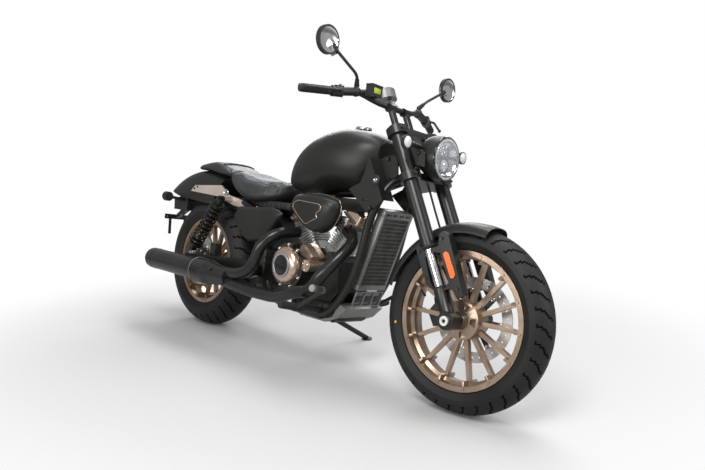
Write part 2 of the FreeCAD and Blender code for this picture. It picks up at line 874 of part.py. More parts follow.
headlight_shares = [(0.0, 0.97, 0.0), (0.1, 0.98, 0.0), (0.45, 0.95, 0.04), (0.8, 0.7, 0.08), (1.0, 0.5, 0.1)]
bracket_shares = [(0.08, 0.76), (0.34, 0.62), (0.6, 0.33), (0.47, 0.12), (0.3, 0.2), (0.08, 0.28)]


def in_steering(shape):
    """Moves a shape drawn in the fork's frame to the steered machine's."""
    shape.Placement = steer.inverse().multiply(fork)
    return shape


def yoke_room(height):
    half = d.forkSpread + d.forkTubeRadius + d.clampWall + d.fitGap
    reach = d.forkTubeRadius + d.clampWall + d.fitGap
    start = Vector(-d.forkOffset * 2, -half, height - d.fitGap)
    return Part.makeBox(reach + d.forkOffset * 2, half * 2, d.clampThickness + d.fitGap * 2, start)


def signal_middle(side):
    return on_fork(d.signalAhead, side * d.signalSpread, d.signalRise)


def front_lamp_carriers():
    """Plates from the fork tubes to the headlight, with a stalk out to each signal."""
    lamps, plates = [], []
    for side in (-1, 1):
        inner = d.headlightRadius + d.runningGap
        low, high = sorted((side * inner, side * (inner + d.bracketWall)))
        points = [(d.guardLong * x, d.lowerClampHeight + d.guardTall * z) for x, z in bracket_shares]
        plate = in_steering(side_plate(points, low, high))
        foot = Vector(0, side * d.forkSpread, d.sealHeight)
        post = in_steering(Part.makeCylinder(d.forkTubeRadius + d.fitGap, d.forkTop - d.sealHeight, foot))
        middle = signal_middle(side)
        lamp = Part.makeCylinder(d.indicatorRadius, d.signalDepth, middle - Vector(d.signalDepth / 2, 0, 0),
                                 Vector(1, 0, 0))
        room = Part.makeCylinder(d.indicatorRadius + d.fitGap, d.signalDepth,
                                 middle - Vector(d.signalDepth / 2, 0, 0), Vector(1, 0, 0))
        stalk_foot = Vector(middle.x, side * (inner + d.bracketWall / 2), middle.z - d.stalkRadius / 2)
        whole = fused([plate, rod(stalk_foot, middle, d.stalkRadius)]).cut(post).cut(room)
        for height in (d.lowerClampHeight, d.upperClampHeight):
            whole = whole.cut(in_steering(yoke_room(height)))
        plates.append(biggest(whole))
        lamps.append(lamp)
    feature("headlight_brackets", Part.makeCompound(plates), steer)
    feature("front_signals", Part.makeCompound(lamps), steer)


mirror_shares = [(0.687, 0.0, 1.104), (0.699, 0.13, 1.137), (0.694, 1.0, 1.223)]


def mirror_points(side):
    return [at(x, side * (d.mirrorBase + d.mirrorReach * y), z) for x, y, z in mirror_shares]


def mirror_stem(side, spare=0.0):
    """The bent stem, or with some spare the room for it in its socket."""
    base, bend, head = mirror_points(side)
    foot = base - (bend - base).normalize() * spare
    return tube([foot, bend, head - Vector(d.mirrorDepth / 2, 0, 0)], d.stemWire + spare)


def mirrors():
    heads, stems = [], []
    for side in (-1, 1):
        head = mirror_points(side)[-1]
        stems.append(mirror_stem(side))
        heads.append(Part.makeCylinder(d.mirrorRadius, d.mirrorDepth, head - Vector(d.mirrorDepth, 0, 0),
                                       Vector(1, 0, 0)))
    feature("mirrors", Part.makeCompound([fused([stem, head]) for stem, head in zip(stems, heads)]), steer)


gauge_share = (0.68, 1.11)
gauge_tilt_share = 0.5


def instruments():
    middle = spot(gauge_share)
    foot = middle - Vector(0, 0, d.gaugeDepth / 2)
    pod = Part.makeCylinder(d.gaugeRadius, d.gaugeDepth, foot, Vector(-gauge_tilt_share, 0, 1))
    bar = bar_route()[len(bar_shares) - 1]
    stem = rod(bar, middle, d.stalkRadius)
    room = tube(bar_route(), d.barRadius + d.fitGap)
    feature("gauge", biggest(fused([pod, stem]).cut(room)), steer)


def front_fender():
    shell = arch(d.frontTyreRadius + d.frontFenderGap, d.frontFenderHalf, d.frontFenderDrop, 2.4)
    shell = sweep_arch(shell, d.frontFenderStartAngle, d.frontFenderEndAngle)
    lugs = []
    for side in (-1, 1):
        low, high = sorted((side * (d.frontFenderHalf - d.fenderWall),
                            side * (d.forkSpread - d.forkTubeRadius - d.fitGap)))
        lug = Part.makeCylinder(d.stalkRadius, high - low, Vector(0, low, d.lugHeight), Vector(0, 1, 0))
        lug.Placement = front_hub.inverse().multiply(fork)
        lugs.append(lug)
    feature("front_fender", fused([shell] + lugs), front_hub)


def arch(radius, half, drop, power):
    """The cross-section of a fender as a face, radius to its crown, in x and y."""
    rims = []
    for thick in (d.fenderWall, 0):
        points = []
        for step in range(arch_steps + 1):
            angle = math.pi * step / arch_steps
            across, up = math.cos(angle), math.sin(angle)
            y = (half + thick) * math.copysign(abs(across) ** (2 / power), across)
            points.append(Vector(radius - drop + (drop + thick) * abs(up) ** (2 / power), y, 0))
        curve = Part.BSplineCurve()
        curve.interpolate(points)
        rims.append((curve, points))
    (outer, outer_points), (inner, inner_points) = rims
    edges = [outer.toShape(), Part.makeLine(outer_points[-1], inner_points[-1]), inner.toShape(),
             Part.makeLine(inner_points[0], outer_points[0])]
    return Part.Face(Part.Wire(Part.__sortEdges__(edges)))


def sweep_arch(face, start, end):
    face.rotate(Vector(0, 0, 0), Vector(0, -1, 0), start)
    return face.revolve(Vector(0, 0, 0), Vector(0, -1, 0), end - start)


arch_steps = 12
fork_legs()
front_axle_bar()
fork_guards()
triple_clamps()
handlebar()
headlight()
front_lamp_carriers()
mirrors()
instruments()
front_fender()


# Frame, drawn on the upright machine

swing_pivot_share = (0.331, 0.345)
swing_pivot = spot(swing_pivot_share)
arm_offset = d.railSpread + d.railRadius + d.armWidth / 2 + d.runningGap
shock_offset = arm_offset + d.armWidth / 2 + d.shockEye + d.fitGap

rail_shares = [(0.78, 0.0, 0.8), (0.765, 0.62, 0.762), (0.752, 1.0, 0.69), (0.733, 1.0, 0.619),
               (0.72, 1.0, 0.504), (0.697, 1.0, 0.389), (0.665, 1.0, 0.3), (0.629, 1.0, 0.24),
               (0.588, 1.0, 0.222), (0.45, 1.0, 0.222), (0.385, 0.74, 0.235), (0.345, 0.68, 0.285),
               (0.33, 0.68, 0.4), (0.3, 0.72, 0.572), (0.215, 1.0, 0.632)]
backbone_shares = [(0.79, 0.0, 0.795), (0.65, 0.0, 0.722), (0.4, 0.0, 0.71), (0.372, 0.0, 0.66),
                   (0.345, 0.0, 0.6), (0.3, 0.0, 0.56)]


case_cross_shares = [(0.6, 1.0), (0.42, 0.9)]
cross_shares = [(0.345, 0.68, 0.285), (0.3, 1.15, 0.56)]
case_shares = [(0.4, 0.26), (0.6, 0.25), (0.64, 0.32), (0.63, 0.44), (0.59, 0.475), (0.532, 0.41),
               (0.475, 0.475), (0.42, 0.45), (0.395, 0.36)]


def case_floor(x):
    """The height share of the crankcase's underside at x."""
    (back, low), (front, high) = case_shares[:2]
    return low + (high - low) * (x - back) / (front - back)


def rail_points(side):
    start = d.headTubeRadius * 0.6
    return [at(x, side * (start + (d.railSpread - start) * y), z) for x, y, z in rail_shares]


def main_frame():
    rails = [tube(rail_points(side), d.railRadius) for side in (-1, 1)]
    spine = tube([at(*share) for share in backbone_shares], d.backboneRadius)
    cross = []
    beneath = (d.crossRadius + d.fitGap) / d.bodyHeight
    under_case = [(x, half, case_floor(x) - beneath) for x, half in case_cross_shares]
    for x, half, z in under_case + cross_shares:
        reach = d.railSpread * half
        cross.append(rod(at(x, -reach, z), at(x, reach, z), d.crossRadius))
    reach = arm_offset + d.armWidth / 2
    cross.append(rod(swing_pivot - Vector(0, reach, 0), swing_pivot + Vector(0, reach, 0), d.pivotRadius))
    cross += stand_lug()
    low = d.lowerClampHeight + d.clampThickness + d.fitGap * 2
    high = d.upperClampHeight - d.fitGap * 2
    to_upright = lean.inverse().multiply(lean * Placement(front_axle, Rotation(Vector(0, 1, 0), -d.rakeAngle)))
    head = Part.makeCylinder(d.headTubeRadius, high - low, Vector(-d.forkOffset, 0, low))
    bore = Part.makeCylinder(d.stemRadius + d.fitGap * 2, high - low, Vector(-d.forkOffset, 0, low))
    head.Placement = to_upright
    bore.Placement = to_upright
    whole = fused(rails + cross + [spine, head]).cut(bore)
    feature("main_frame", biggest(whole), lean)


panel_shares = [(0.664, 0.73), (0.7, 0.757), (0.712, 0.8), (0.718, 0.85), (0.724, 0.855), (0.78, 0.7),
                (0.757, 0.67), (0.733, 0.65)]
cheek_shares = [(0.718, 0.85), (0.742, 0.868), (0.765, 0.872), (0.778, 0.86), (0.785, 0.8), (0.76, 0.765),
                (0.745, 0.775)]


step_share = (0.773, 0.7)


def head_panels():
    """Covers beside the steering head, stepped inward to leave the fork its sweep."""
    plates = []
    for side in (-1, 1):
        outer = d.railSpread + d.railRadius + d.fitGap
        inner = d.cheekHalf
        low, high = sorted((side * outer, side * (outer + d.bracketWall)))
        plate = side_plate(side_points(panel_shares), low, high)
        low, high = sorted((side * inner, side * (inner + d.bracketWall)))
        cheek = side_plate(side_points(cheek_shares), low, high)
        edge = panel_shares[3:6] + [step_share]
        low, high = sorted((side * inner, side * (outer + d.bracketWall)))
        step = side_plate(side_points(edge), low, high)
        rail = tube(rail_points(side), d.railRadius + d.fitGap)
        plates.append(biggest(fused([plate, cheek, step]).cut(rail)))
    feature("head_panels", Part.makeCompound(plates), lean)


arm_rear_shares = [(0.018, 0.49), (-0.03, 0.39), (-0.03, -0.39), (0.018, -0.51)]
arm_front_shares = [(0.31, -0.66), (0.345, -0.37), (0.345, 0.29), (0.31, 0.485)]
bridge_share = 0.232


def swingarm():
    arms = []
    for side in (-1, 1):
        y = side * arm_offset
        half = d.armWidth / 2
        corners = [(along_base(x), rear_axle.z + d.armTall * z) for x, z in arm_rear_shares]
        corners += [(along_base(x), swing_pivot.z + d.armTall * z) for x, z in arm_front_shares]
        arm = side_plate(corners, y - half, y + half)
        hole = Part.makeCylinder(d.axleRadius + d.fitGap, d.armWidth, Vector(0, y - half, d.rearTyreRadius),
                                 Vector(0, 1, 0))
        eye = Part.makeCylinder(d.pivotRadius + d.fitGap, d.armWidth, swing_pivot + Vector(0, y - half, 0),
                                Vector(0, 1, 0))
        arms.append(arm.cut(hole).cut(eye))
    corner = Vector(along_base(bridge_share), -arm_offset, (rear_axle.z + swing_pivot.z) / 2 - d.armWidth / 4)
    bridge = Part.makeBox(d.bridgeDepth, arm_offset * 2, d.armWidth, corner)
    feature("swingarm", fused(arms + [bridge]), lean)


def rear_axle_bar():
    outer = arm_offset + d.armWidth / 2
    hub_face = d.hubHalfWidth + d.rimWall
    gap, collar = d.fitGap, d.collarRadius
    ends = [(d.axleRadius, outer + gap), (d.axleHeadRadius, outer + gap),
            (d.axleHeadRadius, outer + gap + d.axleHead)]
    inner = arm_offset - d.armWidth / 2 - gap
    waist = [(d.axleRadius, hub_face + d.runningGap), (collar, hub_face + d.runningGap),
             (collar, inner), (d.axleRadius, inner)]
    axle_body("rear_axle", rear_hub, waist, ends)


shock_top_share = (0.148, 0.635)
shock_foot_share = (0.024, 0.378)
shaft_share = 0.35
damper_share = 0.62
cup_share = 0.14
cup_thick_share = 0.04


def rear_shocks():
    bodies, springs = [], []
    for side in (-1, 1):
        top, foot = (spot(share, side * shock_offset) for share in (shock_top_share, shock_foot_share))
        along = foot - top
        eye_top = rod(top - Vector(0, d.shockEye, 0), top + Vector(0, d.shockEye, 0), d.shockEye)
        eye_foot = rod(foot - Vector(0, d.shockEye, 0), foot + Vector(0, d.shockEye, 0), d.shockEye)
        damper = rod(top, foot - along * shaft_share, d.springRadius * damper_share)
        shaft = rod(top, foot, d.springRadius * 0.36)
        cups = []
        for share, way in ((cup_share, 1), (1 - cup_share, -1)):
            rest = top + along * share
            cups.append(rod(rest, rest - along * (way * cup_thick_share), d.springRadius + d.springWire))
        bodies.append(fused([damper, shaft, eye_top, eye_foot] + cups))
        start = top + along * cup_share + along * (d.springWire / along.Length)
        tall = along.Length * (1 - cup_share * 2) - d.springWire * 2
        helix = Part.makeHelix(tall / d.springTurns, tall, d.springRadius)
        corners = []
        for turn in range(spring_sides + 1):
            angle = 2 * math.pi * turn / spring_sides
            out, up = d.springWire * math.cos(angle), d.springWire * math.sin(angle)
            corners.append(Vector(d.springRadius + out, 0, up))
        ring = Part.makePolygon(corners)
        coil = Part.Wire(helix).makePipeShell([ring], True, True)
        coil.Placement = Placement(start, Rotation(Vector(0, 0, 1), along))
        springs.append(coil)
    feature("rear_shocks", Part.makeCompound(bodies + springs), lean)


tank_shares = [(0.372, 0.735, 0.752, 0.22), (0.395, 0.712, 0.79, 0.5), (0.43, 0.7, 0.868, 0.76),
               (0.48, 0.697, 0.93, 0.93), (0.54, 0.71, 0.965, 1.0), (0.61, 0.725, 0.977, 0.97),
               (0.665, 0.74, 0.963, 0.82), (0.695, 0.785, 0.945, 0.62), (0.712, 0.82, 0.925, 0.44)]


cap_shares = (0.61, 0.977)


def fuel_tank():
    stations = []
    for x, low, high, half in tank_shares:
        stations.append((along_base(x), d.bodyHeight * low, d.bodyHeight * high, d.tankHalfWidth * half, 2.5))
    shell = hull(stations)
    tunnel = tube([at(*share) for share in backbone_shares], d.backboneRadius + d.tunnelGap)
    lower = Part.makeBox(d.wheelBase, (d.backboneRadius + d.tunnelGap) * 2, d.bodyHeight * 0.7,
                         Vector(0, -d.backboneRadius - d.tunnelGap, 0))
    foot = at(cap_shares[0], 0, cap_shares[1]) - Vector(0, 0, d.capSink)
    room = Part.makeCylinder(d.capRadius + d.fitGap, d.capHeight, foot)
    feature("fuel_tank", biggest(shell.cut(tunnel).cut(lower).cut(room)), lean)
    cap = Part.makeCylinder(d.capRadius, d.capHeight, foot + Vector(0, 0, d.fitGap))
    feature("fuel_cap", cap, lean)


seat_shares = [(0.139, 0.735, 0.768, 0.8), (0.165, 0.69, 0.77, 0.95), (0.21, 0.642, 0.758, 1.0),
               (0.27, 0.63, 0.741, 1.0), (0.32, 0.64, 0.735, 0.86), (0.352, 0.66, 0.735, 0.62),
               (0.368, 0.7, 0.735, 0.3)]
pillion_shares = [(-0.091, 0.765, 0.782, 0.45), (-0.06, 0.757, 0.8, 0.62), (0.0, 0.75, 0.813, 0.72),
                  (0.06, 0.743, 0.812, 0.78), (0.1, 0.742, 0.79, 0.8), (0.137, 0.742, 0.772, 0.78)]


def seats():
    start = at(fender_centre_shares[0], -d.seatHalfWidth, fender_centre_shares[1])
    guard = Part.makeCylinder(fender_radius() + d.fitGap * 2, d.seatHalfWidth * 2, start, Vector(0, 1, 0))
    for label, shares in (("rider_seat", seat_shares), ("pillion_seat", pillion_shares)):
        stations = []
        for x, low, high, half in shares:
            stations.append((along_base(x), d.bodyHeight * low, d.bodyHeight * high, d.seatHalfWidth * half, 3))
        pad_shape = hull(stations).cut(guard)
        if label == "rider_seat":
            rails = [tube(rail_points(side), d.railRadius + d.fitGap) for side in (-1, 1)]
            tank = doc.getObject("fuel_tank").Shape.copy()
            tank.Placement = Placement()
            pad_shape = pad_shape.cut(fused(rails)).cut(tank)
        feature(label, biggest(pad_shape), lean)


fender_centre_shares = (-0.037, 0.28)
fender_radius_share = 0.488


def fender_radius():
    return d.bodyHeight * fender_radius_share


def rear_fender():
    shell = arch(fender_radius() - d.fenderWall, d.rearFenderHalf - d.fenderWall, d.rearFenderDrop, 4)
    centre = Placement(at(fender_centre_shares[0], 0, fender_centre_shares[1]), Rotation())
    swept = sweep_arch(shell, d.rearFenderStartAngle, d.rearFenderEndAngle)
    swept.Placement = centre
    low = [(0.2, 0.59), (0.049, 0.597), (-0.16, 0.62), (-0.26, 0.652), (-0.5, 0.72), (-0.5, 0.0), (0.2, 0.0)]
    cutter = side_plate(side_points(low), -d.bodyWidth, d.bodyWidth)
    cut = swept.cut(cutter)
    feature("rear_fender", biggest(cut), lean)


strut_shares = [(-0.087, 0.654), (-0.063, 0.685), (0.086, 0.697), (0.13, 0.655), (0.235, 0.63), (0.215, 0.6),
                (0.158, 0.61), (0.076, 0.642)]


def fender_struts():
    plates = []
    for side in (-1, 1):
        outer = d.rearFenderHalf - d.fenderWall / 2 + d.fitGap
        low, high = sorted((side * outer, side * (outer + d.strutWall)))
        plate = side_plate(side_points(strut_shares), low, high)
        reach = side * (shock_offset - d.springRadius * damper_share - d.fitGap)
        boss = rod(spot(shock_top_share, side * outer), spot(shock_top_share, reach), d.shockEye)
        rail = tube(rail_points(side), d.railRadius + d.fitGap)
        plates.append(biggest(fused([plate, boss]).cut(rail)))
    feature("fender_struts", Part.makeCompound(plates), lean)


side_cover_shares = [(0.193, 0.566), (0.219, 0.61), (0.376, 0.625), (0.425, 0.602),
                     (0.405, 0.57), (0.352, 0.475), (0.282, 0.455), (0.245, 0.48)]


cover_layer_shares = [(0.0, 0.98), (0.5, 1.0), (1.0, 0.84)]
battery_shares = [(0.24, 0.46), (0.29, 0.42), (0.37, 0.45), (0.365, 0.56), (0.33, 0.61), (0.215, 0.61)]


def side_covers():
    plates = []
    for side in (-1, 1):
        outer = d.railSpread + d.railRadius + d.fitGap
        points = side_points(side_cover_shares)
        plates.append(layered(points, side * outer, side * d.sideCoverDepth, cover_layer_shares, False))
    feature("side_covers", Part.makeCompound(plates), lean)
    box = side_plate(side_points(battery_shares), -d.batteryHalf, d.batteryHalf)
    spine = tube([at(*share) for share in backbone_shares], d.backboneRadius + d.fitGap)
    x, half, z = cross_shares[1]
    cross = rod(at(x, -d.railSpread, z), at(x, d.railSpread, z), d.crossRadius + d.fitGap)
    box = box.cut(spine).cut(cross)
    feature("battery_box", biggest(box), lean)


# Engine

crank_share = (0.532, 0.37)
clutch_share = (0.503, 0.398)
pump_share = (0.571, 0.411)
drum_share = (0.425, 0.35)
left_face_share = 0.8
pump_rise_share = 0.75
pump_plate_shares = [(0.513, 0.468), (0.519, 0.487), (0.532, 0.498), (0.549, 0.488),
                     (0.583, 0.448), (0.566, 0.424), (0.528, 0.443)]
pump_bay_shares = [(0.0, 1.02), (1.0, 1.02)]
dome_shares = [(1.0, 0.0), (1.0, 0.3), (0.95, 0.55), (0.84, 0.8), (0.68, 0.93), (0.6, 0.93), (0.6, 1.0)]


def engine():
    crank, clutch, pump = spot(crank_share), spot(clutch_share), spot(pump_share)
    case = side_plate(side_points(case_shares), -d.caseHalfWidth, d.caseHalfWidth)
    face = d.clutchFace - d.coverDepth
    left_face = face * left_face_share
    across = Vector(0, 1, 0)
    housing = rod(clutch - across * d.caseHalfWidth, clutch - across * face, d.flangeRadius)
    alternator = rod(crank + across * d.caseHalfWidth, crank + across * left_face, d.flangeRadius)
    room = rod(pump - across * d.caseHalfWidth, pump - across * face, d.pumpRadius + d.fitGap)
    pump_points = side_points(pump_plate_shares)
    bay = layered(pump_points, -d.caseHalfWidth, -face, pump_bay_shares, False)
    near, far = d.beltOffset - d.beltWidth / 2, d.beltOffset + d.beltWidth / 2
    spindle = rod(spot(drum_share, d.caseHalfWidth), spot(drum_share, far), d.axleRadius)
    drum = rod(spot(drum_share, near), spot(drum_share, far), d.sprocketRadius)
    feature("crankcase", fused([case, housing.cut(room).cut(bay), alternator, spindle, drum]), lean)
    round_cover("clutch_cover", clutch, -face, -1)
    round_cover("left_engine_cover", crank, left_face, 1)
    front = d.caseHalfWidth + d.fitGap
    plate = layered(pump_points, -front, -d.caseHalfWidth * pump_rise_share, cover_layer_shares, False)
    drum_cover = rod(pump - across * front, pump - across * d.pumpReach, d.pumpRadius)
    feature("pump_cover", fused([drum_cover, plate]), lean)
    barrels, covers = [], []
    for sign in (1, -1):
        tilt = Placement(crank, Rotation(across, sign * d.cylinderLean))
        barrel = finned_barrel()
        barrel.Placement = tilt
        barrels.append(biggest(barrel.cut(case)))
        cover = head_cover()
        cover.Placement = tilt
        covers.append(cover)
    feature("cylinders", Part.makeCompound(barrels), lean)
    feature("head_covers", Part.makeCompound(covers), lean)


def finned_barrel():
    """A cast foot, the barrel and its square fins, on the upright axis."""
    foot = rounded_block(d.finHalfLong - d.finThickness, d.finHalfWide - d.finThickness, d.finCorner,
                         d.cylinderBase, d.barrelFoot)
    core = Part.makeCylinder(d.cylinderRadius, d.cylinderTop - d.cylinderBase, Vector(0, 0, d.cylinderBase))
    fins = []
    for turn in range(int(d.finCount)):
        low = d.cylinderBase + d.barrelFoot + d.finPitch * turn + d.finPitch / 2
        fins.append(rounded_block(d.finHalfLong, d.finHalfWide, d.finCorner, low, d.finThickness))
    return fused([foot, core] + fins)


def head_cover():
    """The cover of the valves: a straight foot under a part that is drawn in."""
    low = d.cylinderTop + d.fitGap
    foot = rounded_block(d.finHalfLong, d.finHalfWide, d.finCorner, low, d.headStep)
    crown = rounded_block(d.finHalfLong - d.finThickness, d.finHalfWide - d.finThickness, d.finCorner,
                          low + d.headStep, d.headCoverDepth - d.headStep, d.headInset)
    return fused([foot, crown])


def round_cover(label, centre, face, side):
    """A turned cover on the engine's side, with a step in to its middle plate."""
    body = new_body(label, lean * Placement(centre, Rotation()))
    line = sketch_on(body, label + "_line", "XY_Plane")
    foot = face + side * d.fitGap
    rise = d.coverDepth - d.fitGap
    shell = [(d.clutchRadius * r, foot + side * rise * out) for r, out in dome_shares]
    outline(line, [(0.0, foot)] + shell + [(0.0, foot + side * rise)])
    turned(body, line, label + "_dome")


air_shares = [(0.497, 0.66), (0.51, 0.685), (0.54, 0.696), (0.63, 0.69), (0.662, 0.668), (0.655, 0.6),
              (0.615, 0.55), (0.575, 0.553), (0.52, 0.6)]


air_layer_shares = [(0.0, 0.97), (0.12, 1.0), (0.45, 0.98), (0.75, 0.88), (0.93, 0.7), (1.0, 0.48)]
intake_share = (0.545, 0.63)
manifold_shares = [(0.465, 0.6), (0.6, 0.6)]


def air_cleaner():
    depth = d.clutchFace - d.airCleanerBack
    cover = layered(side_points(air_shares), -d.airCleanerBack, -depth, air_layer_shares, True)
    boss = rod(spot(intake_share, -d.airCleanerBack - depth / 2), spot(intake_share), d.intakeRadius)
    engine_parts = [doc.getObject(name).Shape.copy() for name in ("cylinders", "head_covers")]
    near, far = (spot(share, -d.intakeRadius) for share in manifold_shares)
    manifold = rod(near, far, d.intakeRadius * 0.7)
    duct = fused([cover, boss, manifold])
    for part in engine_parts:
        part.Placement = Placement()
        duct = duct.cut(part)
    feature("air_cleaner", biggest(duct), lean)


# Exhaust

front_pipe_shares = [(0.625, 0.2, 0.572), (0.668, 0.3, 0.53), (0.668, 0.6, 0.47), (0.64, 0.84, 0.39),
                     (0.607, 0.86, 0.317), (0.558, 0.9, 0.304), (0.488, 0.9, 0.262), (0.366, 0.97, 0.262),
                     (0.2165, 1.0, 0.283)]
rear_pipe_shares = [(0.44, 0.25, 0.532), (0.425, 0.68, 0.52), (0.4, 0.9, 0.47), (0.378, 0.97, 0.35),
                    (0.32, 1.0, 0.318), (0.2165, 1.0, 0.312)]


muffler_share = (0.215, 0.297)
sleeve_front_share = 0.66
sleeve_mouth_share = 0.86
sleeve_swell_share = 0.3
chevron_high_share = 0.38
dome_steps = 4


def exhaust():
    pipes = []
    for shares in (front_pipe_shares, rear_pipe_shares):
        pipes.append(tube([at(x, -d.exhaustOffset * y, z) for x, y, z in shares], d.pipeRadius))
    start = spot(muffler_share, -d.exhaustOffset)
    narrow, wide = d.sleeveRadius * sleeve_front_share, d.sleeveRadius * sleeve_mouth_share
    pipes.append(Part.makeCone(wide, narrow, d.sleeveTaper, start + Vector(d.fitGap, 0, 0), Vector(1, 0, 0)))
    engine_part = doc.getObject("cylinders").Shape.copy()
    engine_part.Placement = Placement()
    feature("exhaust_headers", biggest(fused(pipes).cut(engine_part)), lean)
    body = new_body("muffler", lean * Placement(start, Rotation(Vector(0, 0, 1), 90)))
    line = sketch_on(body, "muffler_line", "XY_Plane")
    long, can, sleeve = d.mufflerLength, d.mufflerRadius, d.sleeveRadius
    dome = can - d.outletRadius
    end = []
    for step in range(dome_steps + 1):
        angle = math.pi / 2 * step / dome_steps
        end.append((d.outletRadius + dome * math.cos(angle), long - dome + dome * math.sin(angle)))
    points = [(0.0, 0.0), (wide, 0.0), (sleeve, d.sleeveLength * sleeve_swell_share), (sleeve, d.sleeveLength),
              (can, d.sleeveLength)]
    bore = d.outletRadius - d.mufflerWall
    outlet = [(bore, long), (bore, long - dome), (0.0, long - dome)]
    outline(line, points + end + outlet)
    turned(body, line, "muffler_can")
    for turn in range(int(d.chevronCount)):
        tip = d.sleeveLength - d.chevronPitch * (turn + 0.5)
        arm, high, thick = d.chevronPitch, sleeve * chevron_high_share, d.chevronWidth
        points = [(tip, 0.0), (tip - arm, high), (tip - arm - thick, high), (tip - thick, 0.0),
                  (tip - arm - thick, -high), (tip - arm, -high)]
        slot = sketch_on(body, f"muffler_slot_line_{turn}", "YZ_Plane", -sleeve)
        outline(slot, points)
        pocket(body, slot, f"muffler_slot_{turn}", d.chevronDepth, reverse=True)


# Radiator, lamps, controls

radiator_shares = [(0.768, 0.662), (0.702, 0.345)]
ear_shares = [(0.731, 0.6), (0.7, 0.4)]
low_rail_share = 0.222
pan_shares = [(0.66, 0.285), (0.69, 0.27), (0.66, 0.225), (0.62, 0.2), (0.52, 0.2)]
pan_roof_shares = (0.52, 0.6)
pan_lip_shares = (0.645, 0.225)


def radiator():
    top, foot = (spot(share) for share in radiator_shares)
    tilt = math.degrees(math.atan2(top.x - foot.x, top.z - foot.z))
    place = Placement(foot, Rotation(Vector(0, 1, 0), tilt))
    tall = (top - foot).Length
    corner = Vector(-d.radiatorDepth, -d.radiatorHalfWidth, 0)
    core = Part.makeBox(d.radiatorDepth, d.radiatorHalfWidth * 2, tall, corner)
    core.Placement = place
    reach = d.railSpread - d.railRadius - d.fitGap
    ears = [rod(spot(share, -reach), spot(share, reach), d.stalkRadius) for share in ear_shares]
    feature("radiator", fused([core] + ears), lean)
    bracket = Part.makeBox(d.radiatorDepth, d.radiatorHalfWidth * 2, d.bracketDrop,
                           corner - Vector(0, 0, d.bracketDrop + d.fitGap))
    bracket.Placement = place
    roof = low_rail_share - (d.railRadius + d.fitGap) / d.bodyHeight
    points = pan_shares + [(x, roof) for x in pan_roof_shares] + [pan_lip_shares]
    pan = side_plate(side_points(points), -d.railSpread, d.railSpread)
    rails = [tube(rail_points(side), d.railRadius + d.fitGap) for side in (-1, 1)]
    feature("belly_pan", biggest(fused([bracket, pan]).cut(fused(rails))), lean)


foot_shares = [(0.6, 0.24), (0.59, 0.265), (0.595, 0.252), (0.69, 0.343), (0.7, 0.355)]


def foot_controls():
    """Each peg with the pedal or lever that turns round it."""
    pieces = []
    for side in (-1, 1):
        root, end, elbow, toe, tip = foot_shares
        inner = side * (d.railSpread + d.railRadius / 2)
        peg = rod(spot(root, inner), spot(end, side * d.pegReach), d.pegRadius)
        arm = rod(spot(elbow, side * d.pedalOffset), spot(toe, side * d.pedalOffset), d.pegRadius * 0.6)
        pad = rod(spot(toe, side * d.pedalOffset), spot(tip, side * d.pegReach), d.pegRadius)
        rail = tube(rail_points(side), d.railRadius + d.fitGap)
        pieces.append(biggest(fused([peg, arm, pad]).cut(rail)))
    feature("foot_controls", Part.makeCompound(pieces), lean)


# Side stand: its pivot, its foot on the ground and the way it folds

stand_shares = [(0.465, 0.18), (0.495, 0.0), (0.465, 0.222)]


def stand_points():
    """The hinge, the foot ahead of it, so that the load holds the leg open, and the hinge's line."""
    pivot = at(stand_shares[0][0], d.standOffset, stand_shares[0][1])
    spot = Vector(d.centreShiftX + along_base(stand_shares[1][0]), d.centreShiftY + d.standReach, d.standSole)
    foot = lean.inverse().multVec(spot)
    down = (foot - pivot).normalize()
    return pivot, foot, down.cross(Vector(-1, 0, 0)).normalize()


def stand_lug():
    """The frame's ear above the stand, its bolt and the strut up to the rail."""
    pivot, foot, hinge = stand_points()
    half = d.standRadius + d.fitGap
    ear = rod(pivot + hinge * half, pivot + hinge * (half + d.bracketWall), d.standEye)
    bolt = rod(pivot - hinge * (half + d.bracketWall), pivot + hinge * half, d.boltRadius)
    head = rod(pivot - hinge * (half + d.bracketWall), pivot - hinge * half, d.standEye * 0.7)
    top = spot(stand_shares[2], d.railSpread)
    strut = rod(pivot + hinge * (half + d.standEye * 0.55), top, d.standEye * 0.5)
    return [ear, bolt, head, strut]


def side_stand():
    pivot, foot, hinge = stand_points()
    leg = rod(pivot, foot, d.standRadius)
    eye = rod(pivot - hinge * d.standRadius, pivot + hinge * d.standRadius, d.standEye)
    hole = rod(pivot - hinge * d.standEye * 1.5, pivot + hinge * d.standEye * 1.5, d.boltRadius + d.fitGap)
    spot = lean.multVec(foot)
    sole = Part.makeCylinder(d.standFoot, d.standSole, Vector(spot.x, spot.y, 0))
    reach = d.standFoot * 2
    room = Part.makeBox(reach * 2, reach * 2, reach, Vector(spot.x - reach, spot.y - reach, -reach))
    standing = leg.fuse(eye).cut(hole)
    standing.transformShape(lean.toMatrix(), True)
    whole = standing.cut(room).fuse(sole)
    whole.transformShape(lean.inverse().toMatrix(), True)
    feature("side_stand", biggest(whole), lean)


